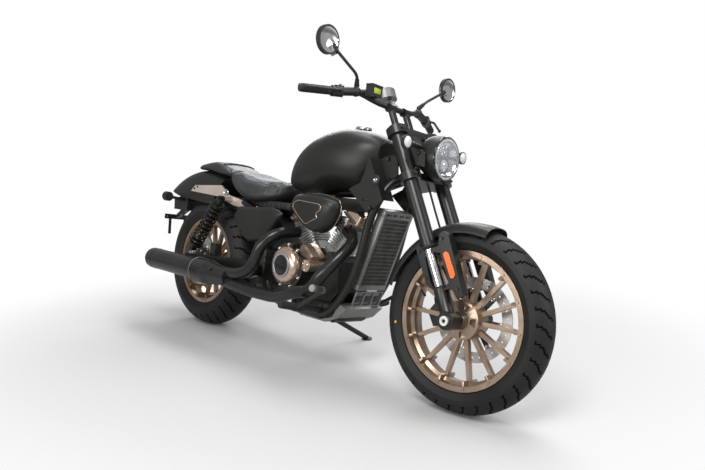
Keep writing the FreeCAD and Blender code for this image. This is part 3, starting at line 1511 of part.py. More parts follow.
def tail():
    """The lamp housing under the end of the rear fender, its signals and the bare plate holder."""
    start = at(fender_centre_shares[0], -d.rearFenderHalf, fender_centre_shares[1])
    inside = Part.makeCylinder(fender_radius() - d.fenderWall - d.fitGap, d.rearFenderHalf * 2, start,
                               Vector(0, 1, 0))
    half = d.rearFenderHalf * 0.55
    housing = side_plate(side_points(tail_shares), -half, half)
    neck = side_plate(side_points(neck_shares), -half / 2, half / 2)
    lamp_box = fused([housing, neck]).common(inside)
    signals = []
    for side in (-1, 1):
        root, end = stalk_shares
        tip = spot(end, side * (d.rearFenderHalf + d.indicatorRadius * 1.8))
        stalk = rod(spot(root, side * (half + d.fitGap)), tip, d.stalkRadius)
        deep = Vector(d.signalDepth / 2, 0, 0)
        lamp = rod(tip - deep, tip + deep, d.indicatorRadius)
        signals.append(fused([stalk, lamp]))
    feature("tail_lamps", Part.makeCompound([biggest(lamp_box)] + signals), lean)
    under = tail_shares[0][1] - d.fitGap / d.bodyHeight
    arm = holder_arm_shares[:1] + [(x, under) for x in holder_top_shares] + holder_arm_shares[1:]
    reach, thin = d.plateReach, d.bracketWall
    solids = [side_plate(side_points(holder_bar_shares), -reach, reach),
              side_plate(side_points(arm), -thin * 2, thin * 2)]
    for side in (-1, 1):
        low, high = sorted((side * d.plateReach * 0.7, side * (d.plateReach * 0.7 - thin * 2)))
        solids.append(side_plate(side_points(holder_post_shares), low, high))
    whole = fused(solids)
    middle = sum(z for x, z in holder_bar_shares) / len(holder_bar_shares)
    for side in (-1, 1):
        back, ahead = (at(x, side * d.plateHoleSpread, middle) for x in holder_hole_shares)
        whole = whole.cut(rod(back, ahead, d.plateHoleRadius))
    feature("plate_bracket", whole, lean)


stalk_shares = [(-0.175, 0.603), (-0.188, 0.612)]
holder_bar_shares = [(-0.272, 0.516), (-0.266, 0.516), (-0.266, 0.49), (-0.272, 0.49)]
holder_arm_shares = [(-0.268, 0.511), (-0.264, 0.495)]
holder_top_shares = (-0.235, -0.2)
holder_post_shares = [(-0.268, 0.5), (-0.262, 0.5), (-0.256, 0.41), (-0.262, 0.41)]
holder_hole_shares = (-0.29, -0.25)
tail_shares = [(-0.235, 0.548), (-0.155, 0.548), (-0.15, 0.6), (-0.16, 0.64), (-0.24, 0.6)]
neck_shares = [(-0.22, 0.6), (-0.16, 0.6), (-0.15, 0.76), (-0.21, 0.76)]


# Drive, brakes and hand controls

def drive():
    """A toothed belt on the left from the engine's pulley to the wheel's."""
    start, wide = d.beltOffset - d.beltWidth / 2, d.beltWidth
    front, rear = spot(drum_share), rear_axle
    across = Vector(0, 1, 0)
    bell = Part.makeCylinder(d.hubRadius * 0.8, start - d.hubHalfWidth - d.rimWall,
                             Vector(0, d.hubHalfWidth + d.rimWall, 0), across)
    pulley = Part.makeCylinder(d.pulleyRadius, wide, Vector(0, start, 0), across)
    bore = Part.makeCylinder(d.collarRadius + d.runningGap, start + wide, Vector(0, 0, 0), across)
    whole = bell.fuse(pulley).cut(bore)
    for turn in range(int(d.windowCount)):
        spot_out = Vector(d.pulleyRadius * 0.75, 0, 0)
        hole = Part.makeCylinder(d.pulleyRadius * 0.16, start + wide, spot_out, across)
        hole.rotate(Vector(0, 0, 0), across, 360 * turn / d.windowCount)
        whole = whole.cut(hole)
    feature("rear_pulley", whole, rear_hub)
    rings = []
    for thick in (d.beltThickness + d.beltGap, d.beltGap):
        rings.append(belt_loop(front, rear, d.sprocketRadius + thick, d.pulleyRadius + thick, start, wide))
    feature("drive_belt", rings[0].cut(rings[1]), lean)


def belt_loop(front, rear, small, large, start, wide):
    """The solid inside two circles and their outer tangents."""
    gap = front - rear
    across = Vector(0, 1, 0)
    length, heading = gap.Length, math.atan2(gap.z, gap.x)
    swing = math.acos((large - small) / length)
    corners = []
    for sign in (1, -1):
        angle = heading + sign * swing
        out = Vector(math.cos(angle), 0, math.sin(angle))
        corners.append((rear + out * large, front + out * small))
    (a, b), (g, f) = corners
    side = Vector(0, start, 0)
    face = Part.Face(Part.makePolygon([point + side for point in (a, b, f, g, a)]))
    body = face.extrude(Vector(0, wide, 0))
    disc_rear = Part.makeCylinder(large, wide, rear + side, across)
    disc_front = Part.makeCylinder(small, wide, front + side, across)
    return body.fuse([disc_rear, disc_front]).removeSplitter()


def brake_hose():
    """From the caliper up behind the left leg to the underside of the lower clamp."""
    hose = tube(hose_route, d.hoseRadius)
    route = bent_path(hose_route)
    area = math.pi * d.hoseRadius ** 2
    print("hose length", route.Length, "volume over section times length", hose.Volume / (area * route.Length))
    print("hose radii", [round(edge.Curve.Radius) for edge in route.Edges if hasattr(edge.Curve, "Radius")])
    feature("brake_hose", hose, fork)


def calipers():
    """A block round the edge of each disc, held to the fork leg or the swing arm."""
    slot = d.discThickness / 2 + d.padGap
    points = [(-d.guardLong * x, d.frontDiscRadius * z) for x, z in caliper_shares]
    low, high = d.discOffset - d.caliperHalf, d.discOffset + d.caliperHalf
    block = side_plate(points, low, high)
    groove = Part.makeCylinder(d.frontDiscRadius + d.padGap, slot * 2, Vector(0, d.discOffset - slot, 0),
                               Vector(0, 1, 0))
    ear = side_plate([(-d.guardLong * x, d.frontDiscRadius * z) for x, z in caliper_ear_shares],
                     high - d.bracketWall, high)
    leg = doc.getObject("axle_clamps").Shape.copy()
    leg.Placement = Placement()
    socket = tube(hose_route, d.hoseRadius + d.fitGap)
    feature("front_caliper", biggest(fused([block.cut(groove), ear]).cut(leg).cut(socket)), fork)
    start = Vector(d.rearDiscRadius * 0.75, -d.rearDiscOffset - d.caliperHalf, d.rearDiscRadius * 0.3)
    block = Part.makeBox(d.rearDiscRadius * 0.34, d.caliperHalf * 2, d.rearDiscRadius * 0.5, start)
    groove = Part.makeCylinder(d.rearDiscRadius + d.padGap, slot * 2, Vector(0, -d.rearDiscOffset - slot, 0),
                               Vector(0, 1, 0))
    inner = -(arm_offset - d.armWidth / 2) + d.fitGap
    ear = Part.makeBox(d.rearDiscRadius * 0.3, abs(inner) - d.rearDiscOffset - slot, d.bracketWall * 2,
                       Vector(d.rearDiscRadius * 0.75, inner, d.rearDiscRadius * 0.3))
    feature("rear_caliper", biggest(fused([block.cut(groove), ear])), rear_hub)


hose_route = [(-145, 62, 80), (-143, 66, 135), (-118, 80, 185), (-86, 95, 230), (-62, 98, 285), (-48, 84, 340),
              (-34, 60, 390), (-24, 44, 452), (-20, 40, 514.7)]
caliper_shares = [(0.86, 0.1), (1.15, 0.16), (1.18, 0.55), (0.9, 0.68), (0.64, 0.62)]
caliper_ear_shares = [(0.05, 0.12), (0.9, 0.2), (0.85, 0.5), (0.05, 0.62)]


pot_share = (0.709, 1.072)


def hand_controls():
    """On each side the switch housing, the lever's perch with the mirror's boss, and the lever."""
    route = bar_route()
    sides = []
    for end, inner, base in ((route[0], route[1], 1), (route[-1], route[-2], -1)):
        along = (inner - end).normalize()
        ahead = Vector(along.y * base, -along.x * base, 0).normalize() * base
        ahead = ahead if ahead.x > 0 else ahead * -1
        stop = end + along * (d.gripLength - d.barEnd + d.fitGap)
        housing = Part.makeCylinder(d.gripRadius * 1.25, d.switchLength, stop, along)
        socket = mirror_points(-base)[0]
        perch_start = socket - Vector(0, 0, d.perchDrop)
        knee = stop + along * (d.switchLength * 0.5) + ahead * (d.gripRadius * 2.2)
        tip = end + along * d.barEnd + ahead * (d.gripRadius * 2.6)
        lever = tube([stop + along * d.switchLength * 0.8 + ahead * d.gripRadius, knee, tip], d.leverRadius)
        ball = Part.makeSphere(d.leverRadius * 1.5, tip)
        boss = rod(perch_start, socket + Vector(0, 0, d.stemWire / 2), d.stalkRadius)
        ring = Part.makeSphere(d.gripRadius * 1.2, perch_start)
        perch = rod(stop + along * (d.switchLength / 2), perch_start, d.gripRadius)
        side = [housing, lever, ball, boss, ring, perch]
        if base == 1:
            corner = spot(pot_share, -d.reservoirSpread - d.reservoirLong / 2)
            pot = Part.makeBox(d.reservoirDeep, d.reservoirLong, d.reservoirTall, corner)
            middle = corner + Vector(d.reservoirDeep, d.reservoirLong, d.reservoirTall) * 0.5
            link = rod(perch_start, middle, d.stalkRadius)
            side += [pot, link]
        sides.append(fused(side).cut(mirror_stem(-base, d.fitGap)))
    bar = tube(route, d.barRadius + d.fitGap)
    whole = [biggest(side.cut(bar)) for side in sides]
    feature("hand_controls", Part.makeCompound(whole), steer)


main_frame()
head_panels()
swingarm()
rear_axle_bar()
rear_shocks()
fuel_tank()
seats()
rear_fender()
fender_struts()
side_covers()
engine()
air_cleaner()
exhaust()
radiator()
foot_controls()
side_stand()
tail()
drive()
brake_hose()
calipers()
hand_controls()


# Checks and files

def finish():
    doc.recompute()
    for part in doc.Objects:
        if "Invalid" in part.State or "Error" in part.State:
            raise ValueError(f"{part.Label} did not build: {part.State}")
    os.makedirs("parts", exist_ok=True)
    for piece in pieces:
        shape = piece.Shape
        if shape.isNull() or not shape.isValid():
            raise ValueError(f"{piece.Label} is not a valid solid")
        shape.exportStep(f"parts/{piece.Label}.step")
    whole = Part.makeCompound([piece.Shape for piece in pieces])
    print("pieces", len(pieces), "box", whole.BoundBox)
    print("front axle", front_hub.Base, "along", front_hub.Rotation.multVec(Vector(0, 1, 0)))
    print("rear axle", rear_hub.Base, "along", rear_hub.Rotation.multVec(Vector(0, 1, 0)))
    print("steering", lean.multVec(steering_pivot), "along", lean.Rotation.multVec(steering_axis))
    pivot, foot, hinge = stand_points()
    print("stand", lean.multVec(pivot), "along", lean.Rotation.multVec(hinge))


finish()
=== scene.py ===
import bpy
import bmesh
import math
from mathutils import Matrix, Vector
from mathutils.bvhtree import BVHTree


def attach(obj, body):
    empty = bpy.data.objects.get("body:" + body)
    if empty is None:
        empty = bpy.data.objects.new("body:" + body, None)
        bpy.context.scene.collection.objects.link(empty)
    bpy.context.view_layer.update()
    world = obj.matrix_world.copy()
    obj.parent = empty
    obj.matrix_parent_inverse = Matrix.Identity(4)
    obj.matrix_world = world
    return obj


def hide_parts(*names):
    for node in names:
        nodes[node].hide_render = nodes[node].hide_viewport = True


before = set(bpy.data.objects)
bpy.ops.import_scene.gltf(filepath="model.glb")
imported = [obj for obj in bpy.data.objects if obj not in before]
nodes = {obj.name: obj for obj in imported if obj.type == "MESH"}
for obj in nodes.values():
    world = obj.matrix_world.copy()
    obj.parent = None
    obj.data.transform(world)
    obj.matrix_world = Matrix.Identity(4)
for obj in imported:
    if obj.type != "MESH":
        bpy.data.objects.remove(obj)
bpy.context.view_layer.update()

# the machine's own axes: x forward from the rear axle, y left, z up, in metres, before it leans
machine = {"lean": 9.7, "steer": 2.6, "rake": 28, "forkOffset": 0.046, "wheelBase": 1.53,
           "frontAxle": 0.32004, "rearAxle": 0.3185, "shiftX": -0.717, "shiftY": -0.181, "crown": 0.087,
           "frontSpan": 0.612, "bodyHeight": 1.0}

rakeTurn = math.radians(machine["rake"])
leanTurn = math.radians(machine["lean"])
steerAxis = Vector((-math.sin(rakeTurn), 0, math.cos(rakeTurn)))
forkAhead = Vector((math.cos(rakeTurn), 0, math.sin(rakeTurn)))
frontAxle = Vector((machine["wheelBase"], 0, machine["frontAxle"]))
lift = machine["crown"] * (1 - math.cos(leanTurn))
leaned = Matrix.Translation((machine["shiftX"], machine["shiftY"], lift)) @ Matrix.Rotation(-leanTurn, 4, "X")
pivot = frontAxle - forkAhead * machine["forkOffset"]
steered = (leaned @ Matrix.Translation(pivot)
           @ Matrix.Rotation(math.radians(machine["steer"]), 4, steerAxis) @ Matrix.Translation(-pivot))
forkSpace = steered @ Matrix.Translation(frontAxle) @ Matrix.Rotation(-rakeTurn, 4, "Y")
frontHub = steered @ Matrix.Translation(frontAxle)
rearHub = leaned @ Matrix.Translation((0, 0, machine["rearAxle"]))
acrossY = Matrix.Rotation(math.radians(-90), 4, "X")  # turns a shape drawn round z so that it is round y


def addObject(name, data):
    holder = bpy.data.objects.new(name, data)
    bpy.context.scene.collection.objects.link(holder)
    return holder


def meshOf(holder):  # what its curve or its modifiers make
    return bpy.data.meshes.new_from_object(holder.evaluated_get(bpy.context.evaluated_depsgraph_get()))


camera = bpy.data.cameras.new("camera")
view = {"spot": (2.802, -1.779, 0.958), "yaw": 134.85, "pitch": -8.9, "lens": 33.58, "sensor": 36.0}
camera.lens = view["lens"]
camera.sensor_width = view["sensor"]
cameraHolder = addObject("camera", camera)
yaw, pitch = math.radians(view["yaw"]), math.radians(view["pitch"])
ahead = Vector((math.cos(pitch) * math.cos(yaw), math.cos(pitch) * math.sin(yaw), math.sin(pitch)))
cameraHolder.location = Vector(view["spot"]) + Vector((machine["shiftX"], machine["shiftY"], 0))
cameraHolder.rotation_euler = ahead.to_track_quat("-Z", "Y").to_euler()
bpy.context.scene.camera = cameraHolder


def spot(xShare, y, zShare):  # a place on the upright machine, from the same shares as its frame
    middle = machine["wheelBase"] - machine["frontSpan"]
    if xShare > 0.6:
        x = middle + machine["frontSpan"] * (xShare - 0.6) / 0.4
    else:
        x = middle * xShare / 0.6
    return Vector((x, y, machine["bodyHeight"] * zShare))


def onFork(forward, y, height):  # a place on the steered machine, from the fork's own line
    return Matrix.Rotation(-rakeTurn, 3, "Y") @ Vector((forward, y, height)) + frontAxle


# materials

def nodeMaker(material):
    tree = material.node_tree
    def make(kind, **inputs):
        node = tree.nodes.new(kind)
        for key, value in inputs.items():
            if hasattr(node, key):
                setattr(node, key, value)
            else:
                node.inputs[key.replace("_", " ")].default_value = value
        return node
    return tree, make


def finish(name, dark, light, rough=(0.35, 0.5), metal=0.0, patch=9.0, grain=900.0, bump=0.05, sockets=None):
    # a painted, cast or moulded surface: two tones in soft patches and a fine grain
    material = bpy.data.materials.new(name)
    material.use_nodes = True
    tree, make = nodeMaker(material)
    shader = tree.nodes["Principled BSDF"]
    place = make("ShaderNodeTexCoord")
    cloud = make("ShaderNodeTexNoise", Scale=patch, Detail=5.0, Roughness=0.6)
    tree.links.new(place.outputs["Object"], cloud.inputs["Vector"])
    tones = make("ShaderNodeValToRGB")
    tones.color_ramp.elements[0].position = 0.32
    tones.color_ramp.elements[1].position = 0.68
    tones.color_ramp.elements[0].color = (*dark, 1)
    tones.color_ramp.elements[1].color = (*light, 1)
    tree.links.new(cloud.outputs["Fac"], tones.inputs["Fac"])
    tree.links.new(tones.outputs["Color"], shader.inputs["Base Color"])
    shine = make("ShaderNodeMapRange")
    shine.inputs["To Min"].default_value, shine.inputs["To Max"].default_value = rough
    tree.links.new(cloud.outputs["Fac"], shine.inputs["Value"])
    tree.links.new(shine.outputs["Result"], shader.inputs["Roughness"])
    speck = make("ShaderNodeTexNoise", Scale=grain, Detail=3.0)
    tree.links.new(place.outputs["Object"], speck.inputs["Vector"])
    relief = make("ShaderNodeBump", Strength=bump, Distance=0.0006)
    tree.links.new(speck.outputs["Fac"], relief.inputs["Height"])
    tree.links.new(relief.outputs["Normal"], shader.inputs["Normal"])
    shader.inputs["Metallic"].default_value = metal
    for socket, value in (sockets or {}).items():
        shader.inputs[socket].default_value = value
    material["relief"] = relief.name
    return material


def hide(name, dark, light, cell=420.0):
    # stitched leather: small raised cells under soft patches of tone
    material = finish(name, dark, light, rough=(0.42, 0.62), patch=14.0, grain=1400.0, bump=0.12)
    tree, make = nodeMaker(material)
    cells = make("ShaderNodeTexVoronoi", Scale=cell)
    cells.feature = "DISTANCE_TO_EDGE"
    relief = make("ShaderNodeBump", Strength=0.35, Distance=0.0006)
    place = tree.nodes["Texture Coordinate"]
    tree.links.new(place.outputs["Object"], cells.inputs["Vector"])
    tree.links.new(cells.outputs["Distance"], relief.inputs["Height"])
    first = tree.nodes[material["relief"]]
    tree.links.new(first.outputs["Normal"], relief.inputs["Normal"])
    tree.links.new(relief.outputs["Normal"], tree.nodes["Principled BSDF"].inputs["Normal"])
    return material


finishes = {
    "mattePaint": finish("mattePaint", (0.0095, 0.0098, 0.0078), (0.0155, 0.0158, 0.0132), (0.36, 0.46),
                         patch=3.0, grain=1600.0, bump=0.03, sockets={"Specular IOR Level": 0.4}),
    "framePaint": finish("framePaint", (0.0055, 0.0055, 0.0045), (0.0095, 0.0095, 0.008), (0.24, 0.38),
                         patch=7.0),
    "glossBlack": finish("glossBlack", (0.006, 0.006, 0.006), (0.011, 0.011, 0.011), (0.08, 0.18), patch=9.0,
                         bump=0.01),
    "bronzeCast": finish("bronzeCast", (0.31, 0.222, 0.16), (0.44, 0.33, 0.245), (0.24, 0.38), metal=0.8,
                         patch=16.0, grain=1100.0, bump=0.1),
    "bronzePlate": finish("bronzePlate", (0.52, 0.39, 0.3), (0.66, 0.51, 0.41), (0.2, 0.34), metal=0.85,
                          patch=6.0, grain=900.0, bump=0.03),
    "paleBronze": finish("paleBronze", (0.62, 0.52, 0.45), (0.74, 0.64, 0.56), (0.28, 0.36), metal=0.6,
                         patch=6.0, grain=900.0, bump=0.02),
    "bareAlloy": finish("bareAlloy", (0.5, 0.5, 0.48), (0.68, 0.68, 0.66), (0.28, 0.45), metal=0.9,
                        patch=22.0, grain=700.0, bump=0.1),
    "darkAlloy": finish("darkAlloy", (0.024, 0.024, 0.021), (0.045, 0.044, 0.039), (0.32, 0.5), metal=0.4,
                        patch=20.0, grain=800.0, bump=0.15),
    "brightSteel": finish("brightSteel", (0.68, 0.68, 0.68), (0.82, 0.82, 0.82), (0.1, 0.18), metal=1.0,
                          patch=12.0, grain=300.0, bump=0.01),
    "brushedRing": finish("brushedRing", (0.5, 0.5, 0.5), (0.72, 0.72, 0.71), (0.25, 0.4), metal=1.0,
                          patch=300.0, grain=900.0, bump=0.08),
    "discSteel": finish("discSteel", (0.52, 0.49, 0.46), (0.72, 0.69, 0.66), (0.22, 0.36), metal=0.95,
                        patch=9.0, grain=500.0, bump=0.05),
    "reflector": finish("reflector", (0.42, 0.45, 0.5), (0.78, 0.81, 0.85), (0.06, 0.16), metal=1.0,
                        patch=90.0, grain=160.0, bump=0.12),
    "blackPlastic": finish("blackPlastic", (0.009, 0.009, 0.009), (0.0155, 0.0155, 0.015), (0.42, 0.6),
                           patch=10.0, grain=1300.0, bump=0.18),
    "rubber": finish("rubber", (0.009, 0.009, 0.0095), (0.016, 0.016, 0.016), (0.62, 0.8), patch=18.0,
                     grain=900.0, bump=0.15),
    "tyreRubber": finish("tyreRubber", (0.008, 0.0083, 0.0078), (0.0165, 0.0165, 0.0155), (0.5, 0.68),
                         patch=11.0, grain=700.0, bump=0.2, sockets={"Specular IOR Level": 0.3}),
    # the groove floors' rubber, far darker than the tread's: painted shade in the grooves
    "grooveShadeRubber": finish("grooveShadeRubber", (0.002, 0.002, 0.002), (0.004, 0.004, 0.004), (0.8, 0.9),
                           patch=11.0, sockets={"Specular IOR Level": 0.1}),
    "exhaustBlack": finish("exhaustBlack", (0.015, 0.0155, 0.0145), (0.024, 0.0245, 0.023), (0.2, 0.3),
                           metal=0.3, patch=5.0, grain=1500.0, bump=0.03),
    "springBlack": finish("springBlack", (0.012, 0.012, 0.011), (0.022, 0.022, 0.02), (0.16, 0.28), metal=0.3,
                          patch=30.0, bump=0.03),
    "seatSide": hide("seatSide", (0.019, 0.02, 0.0205), (0.03, 0.0315, 0.0325)),
    "seatTop": hide("seatTop", (0.1, 0.107, 0.118), (0.15, 0.158, 0.172), cell=520.0),
    "thread": finish("thread", (0.2, 0.21, 0.22), (0.27, 0.28, 0.29), (0.6, 0.75), patch=300.0, grain=2000.0,
                     bump=0.3),
    "mirrorGlass": finish("mirrorGlass", (0.8, 0.82, 0.83), (0.86, 0.87, 0.88), (0.02, 0.04), metal=1.0,
                          patch=3.0, grain=200.0, bump=0.0),
    "whitePaint": finish("whitePaint", (0.74, 0.74, 0.73), (0.82, 0.82, 0.81), (0.35, 0.45), patch=50.0),
    "whiteLens": finish("whiteLens", (0.6, 0.61, 0.61), (0.78, 0.79, 0.79), (0.1, 0.2), patch=160.0,
                        grain=260.0, bump=0.5, sockets={"Coat Weight": 0.6}),
    "lampGlass": finish("lampGlass", (0.35, 0.38, 0.42), (0.6, 0.64, 0.7), (0.02, 0.05), metal=0.6,
                        patch=40.0, grain=60.0, bump=0.02,
                        sockets={"Coat Weight": 1.0, "Coat Roughness": 0.02}),
    "thinGlass": finish("thinGlass", (0.9, 0.93, 0.96), (1.0, 1.0, 1.0), (0.0, 0.03), patch=4.0, grain=60.0,
                        bump=0.01, sockets={"Alpha": 0.12, "Specular IOR Level": 0.6}),
    "redLens": finish("redLens", (0.3, 0.008, 0.006), (0.45, 0.015, 0.01), (0.1, 0.2), patch=70.0,
                      grain=240.0, bump=0.35, sockets={"Coat Weight": 0.7}),
    "orangeLens": finish("orangeLens", (0.75, 0.11, 0.012), (0.95, 0.2, 0.03), (0.18, 0.3), patch=160.0,
                         grain=420.0, bump=0.6, sockets={"Coat Weight": 0.5}),
    "screen": finish("screen", (0.3, 0.42, 0.02), (0.45, 0.56, 0.05), (0.2, 0.3), patch=45.0, grain=200.0,
                     bump=0.05),
    "redButton": finish("redButton", (0.55, 0.02, 0.02), (0.7, 0.04, 0.035), (0.3, 0.4), patch=30.0),
    "amberDot": finish("amberDot", (0.5, 0.28, 0.02), (0.65, 0.38, 0.03), (0.4, 0.5), patch=60.0),
    "radiatorFins": finish("radiatorFins", (0.1, 0.102, 0.096), (0.17, 0.172, 0.164), (0.35, 0.5), metal=0.6,
                           patch=25.0, grain=900.0, bump=0.1),
    "greyAlloy": finish("greyAlloy", (0.16, 0.166, 0.158), (0.25, 0.256, 0.245), (0.35, 0.5), metal=0.6,
                        patch=14.0, grain=800.0, bump=0.12),
}
print("materials ready", len(finishes))

nodeFinish = {
    "mattePaint": ["fuel_tank", "rear_fender", "side_covers", "front_fender", "headlight_shell",
                   "air_cleaner"],
    "framePaint": ["main_frame", "head_panels", "swingarm", "fork_guards", "headlight_brackets", "fork_tubes",
                   "triple_clamps", "axle_clamps", "plate_bracket", "side_stand", "battery_box"],
    "bronzeCast": ["front_rim", "rear_rim"],
    "bronzePlate": ["clutch_cover", "head_covers", "pump_cover"],
    "paleBronze": ["fender_struts"],
    "bareAlloy": ["cylinders", "front_axle", "rear_axle"],
    "darkAlloy": ["crankcase", "left_engine_cover", "front_caliper", "rear_caliper", "front_disc_carrier",
                  "rear_disc_carrier", "rear_pulley", "foot_controls"],
    "radiatorFins": ["radiator"],
    "brightSteel": ["fork_sliders"],
    "discSteel": ["front_disc", "rear_disc"],
    "blackPlastic": ["gauge", "mirrors", "hand_controls", "tail_lamps", "fuel_cap", "handlebar"],
    "rubber": ["grips", "drive_belt", "brake_hose"],
    "tyreRubber": ["front_tyre", "rear_tyre"],
    "exhaustBlack": ["exhaust_headers", "muffler"],
    "springBlack": ["rear_shocks"],
    "seatSide": ["rider_seat", "pillion_seat"],
    "greyAlloy": ["belly_pan"],
    "whiteLens": ["headlight_lens", "front_signals"],
    "orangeLens": ["fork_reflectors"],
}
for look, names in nodeFinish.items():
    for name in names:
        nodes[name].data.materials.clear()
        nodes[name].data.materials.append(finishes[look])


# shapes

def newPiece(name, shape, place, look, body, smooth=40, loose=False):
    # turns a bmesh into a finished piece that rides on a body
    if not loose:
        bmesh.ops.remove_doubles(shape, verts=shape.verts, dist=0.00001)
        bmesh.ops.recalc_face_normals(shape, faces=shape.faces)
    mesh = bpy.data.meshes.new(name)
    shape.transform(place)
    if place.determinant() < 0:
        bmesh.ops.reverse_faces(shape, faces=shape.faces)
    shape.to_mesh(mesh)
    shape.free()
    looks = look if isinstance(look, (list, tuple)) else [look]
    for each in looks:
        mesh.materials.append(finishes[each])
    mesh.shade_smooth()
    mesh.set_sharp_from_angle(angle=math.radians(smooth))
    piece = addObject(name, mesh)
    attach(piece, body)
    return piece


def modify(piece, kind, **settings):
    modifier = piece.modifiers.new(kind.title(), kind)
    for key, value in settings.items():
        setattr(modifier, key, value)
    return modifier


def softEdges(piece, width, segments=2, angle=35):
    modify(piece, "BEVEL", width=width, segments=segments, limit_method="ANGLE",
           angle_limit=math.radians(angle), harden_normals=False)


def lathe(shape, profile, steps=64, axis=(0, 1, 0)):
    # spins an outline of (radius, height) pairs round the axis, closed where it meets it
    axis = Vector(axis)
    side = Vector((1, 0, 0)) if abs(axis.x) < 0.5 else Vector((0, 0, 1))
    points = [shape.verts.new(side * r + axis * h) for r, h in profile]
    edges = [shape.edges.new(pair) for pair in zip(points, points[1:])]
    bmesh.ops.spin(shape, geom=points + edges, cent=(0, 0, 0), axis=axis, angle=2 * math.pi, steps=steps,
                   use_merge=True)
    bmesh.ops.remove_doubles(shape, verts=shape.verts, dist=0.00001)


def addLathe(shape, profile, place, steps, axis=(0, 0, 1)):  # a lathed form put in its place
    before = set(shape.verts)
    lathe(shape, profile, steps=steps, axis=axis)
    bmesh.ops.transform(shape, matrix=place, verts=list(set(shape.verts) - before))


def alongZ(start, way):  # a space whose z runs the given way from start
    return Matrix.Translation(start) @ way.to_track_quat("Z", "Y").to_matrix().to_4x4()


def addBox(shape, centre, size, place=None, look=0, bevel=0.0):
    place = place or Matrix()
    made = bmesh.ops.create_cube(shape, size=1)
    corners = made["verts"]
    bmesh.ops.scale(shape, verts=corners, vec=size)
    if bevel:
        edges = list({edge for vert in corners for edge in vert.link_edges})
        cut = bmesh.ops.bevel(shape, geom=edges, offset=bevel, segments=2, affect="EDGES", profile=0.5,
                              material=-1)
        corners = list(islandOf(cut["faces"][0].verts[0]))
    faces = {face for vert in corners for face in vert.link_faces}
    for face in faces:
        face.material_index = look
    bmesh.ops.transform(shape, matrix=place @ Matrix.Translation(centre), verts=corners)


def islandOf(start):
    seen, todo = {start}, [start]
    while todo:
        vert = todo.pop()
        for edge in vert.link_edges:
            other = edge.other_vert(vert)
            if other not in seen:
                seen.add(other)
                todo.append(other)
    return seen


def addRod(shape, start, end, radius, tip=None, steps=20, look=0):
    # a round bar between two points, tapering to tip
    start, end = Vector(start), Vector(end)
    along = end - start
    turn = along.to_track_quat("Z", "Y").to_matrix().to_4x4()
    made = bmesh.ops.create_cone(shape, cap_ends=True, segments=steps, radius1=radius,
                                 radius2=radius if tip is None else tip, depth=along.length,
                                 matrix=Matrix.Translation((start + end) / 2) @ turn)
    for face in {face for vert in made["verts"] for face in vert.link_faces}:
        face.material_index = look


boltSizes = {"washer": 1.35, "height": 0.7, "socket": 0.5, "socketDepth": 0.4, "taper": 0.94, "sides": 18}


def addBolt(shape, spot, out, radius, look=0):
    # a washer and a round head with a hexagon socket
    spot, out = Vector(spot), Vector(out).normalized()
    turn = alongZ(spot, out)
    tall = radius * boltSizes["height"]
    for wide, low, high in ((radius * boltSizes["washer"], -0.0004, tall * 0.22), (radius, tall * 0.2, tall)):
        made = bmesh.ops.create_cone(shape, cap_ends=True, segments=boltSizes["sides"], radius1=wide,
                                     radius2=wide * boltSizes["taper"], depth=high - low,
                                     matrix=turn @ Matrix.Translation((0, 0, (low + high) / 2)))
        for face in {face for vert in made["verts"] for face in vert.link_faces}:
            face.material_index = look
    top = max((face for vert in made["verts"] for face in vert.link_faces),
              key=lambda face: face.calc_center_median().dot(out))
    bmesh.ops.inset_region(shape, faces=[top], thickness=radius * boltSizes["socket"])
    bmesh.ops.translate(shape, verts=top.verts, vec=-out * tall * boltSizes["socketDepth"])


def tubeMesh(shape, points, radius, look=0, resolution=6, order=3, closed=False):
    # a round tube along a smooth line through space, as part of a bmesh
    curve = bpy.data.curves.new("line", "CURVE")
    curve.dimensions = "3D"
    curve.bevel_depth = radius
    curve.bevel_resolution = 3
    curve.use_fill_caps = True
    spline = curve.splines.new("NURBS")
    spline.points.add(len(points) - 1)
    for dot, point in zip(spline.points, points):
        dot.co = (*point, 1)
    spline.order_u = order
    spline.use_cyclic_u = closed
    spline.use_endpoint_u = not closed
    spline.resolution_u = resolution
    holder = addObject("line", curve)
    bpy.context.view_layer.update()
    mesh = meshOf(holder)
    before = set(shape.faces)
    shape.from_mesh(mesh)
    for face in set(shape.faces) - before:
        face.material_index = look
    bpy.data.objects.remove(holder)
    bpy.data.curves.remove(curve)
    bpy.data.meshes.remove(mesh)


def copyOf(name):  # a plain node's mesh, merged, with its flat faces made one
    shape = bmesh.new()
    shape.from_mesh(nodes[name].data)
    bmesh.ops.remove_doubles(shape, verts=shape.verts, dist=0.00002)
    bmesh.ops.dissolve_limit(shape, angle_limit=math.radians(1.5), verts=shape.verts, edges=shape.edges)
    for face in shape.faces:
        face.material_index = 0
    shape.normal_update()
    return shape


def rounded(name, look, width, body):  # a copy of a plain node with rounded edges, which stands for it
    piece = newPiece(name + "Finished", copyOf(name), Matrix(), look, body, loose=True)
    softEdges(piece, width)
    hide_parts(name)


def surfaceOf(name, space):  # a node's surface in a space of its own, for placing small pieces on it
    shape = bmesh.new()
    shape.from_mesh(nodes[name].data)
    shape.transform(space.inverted())
    tree = BVHTree.FromBMesh(shape)
    shape.free()
    return tree


# the front brake hose, held at both ends

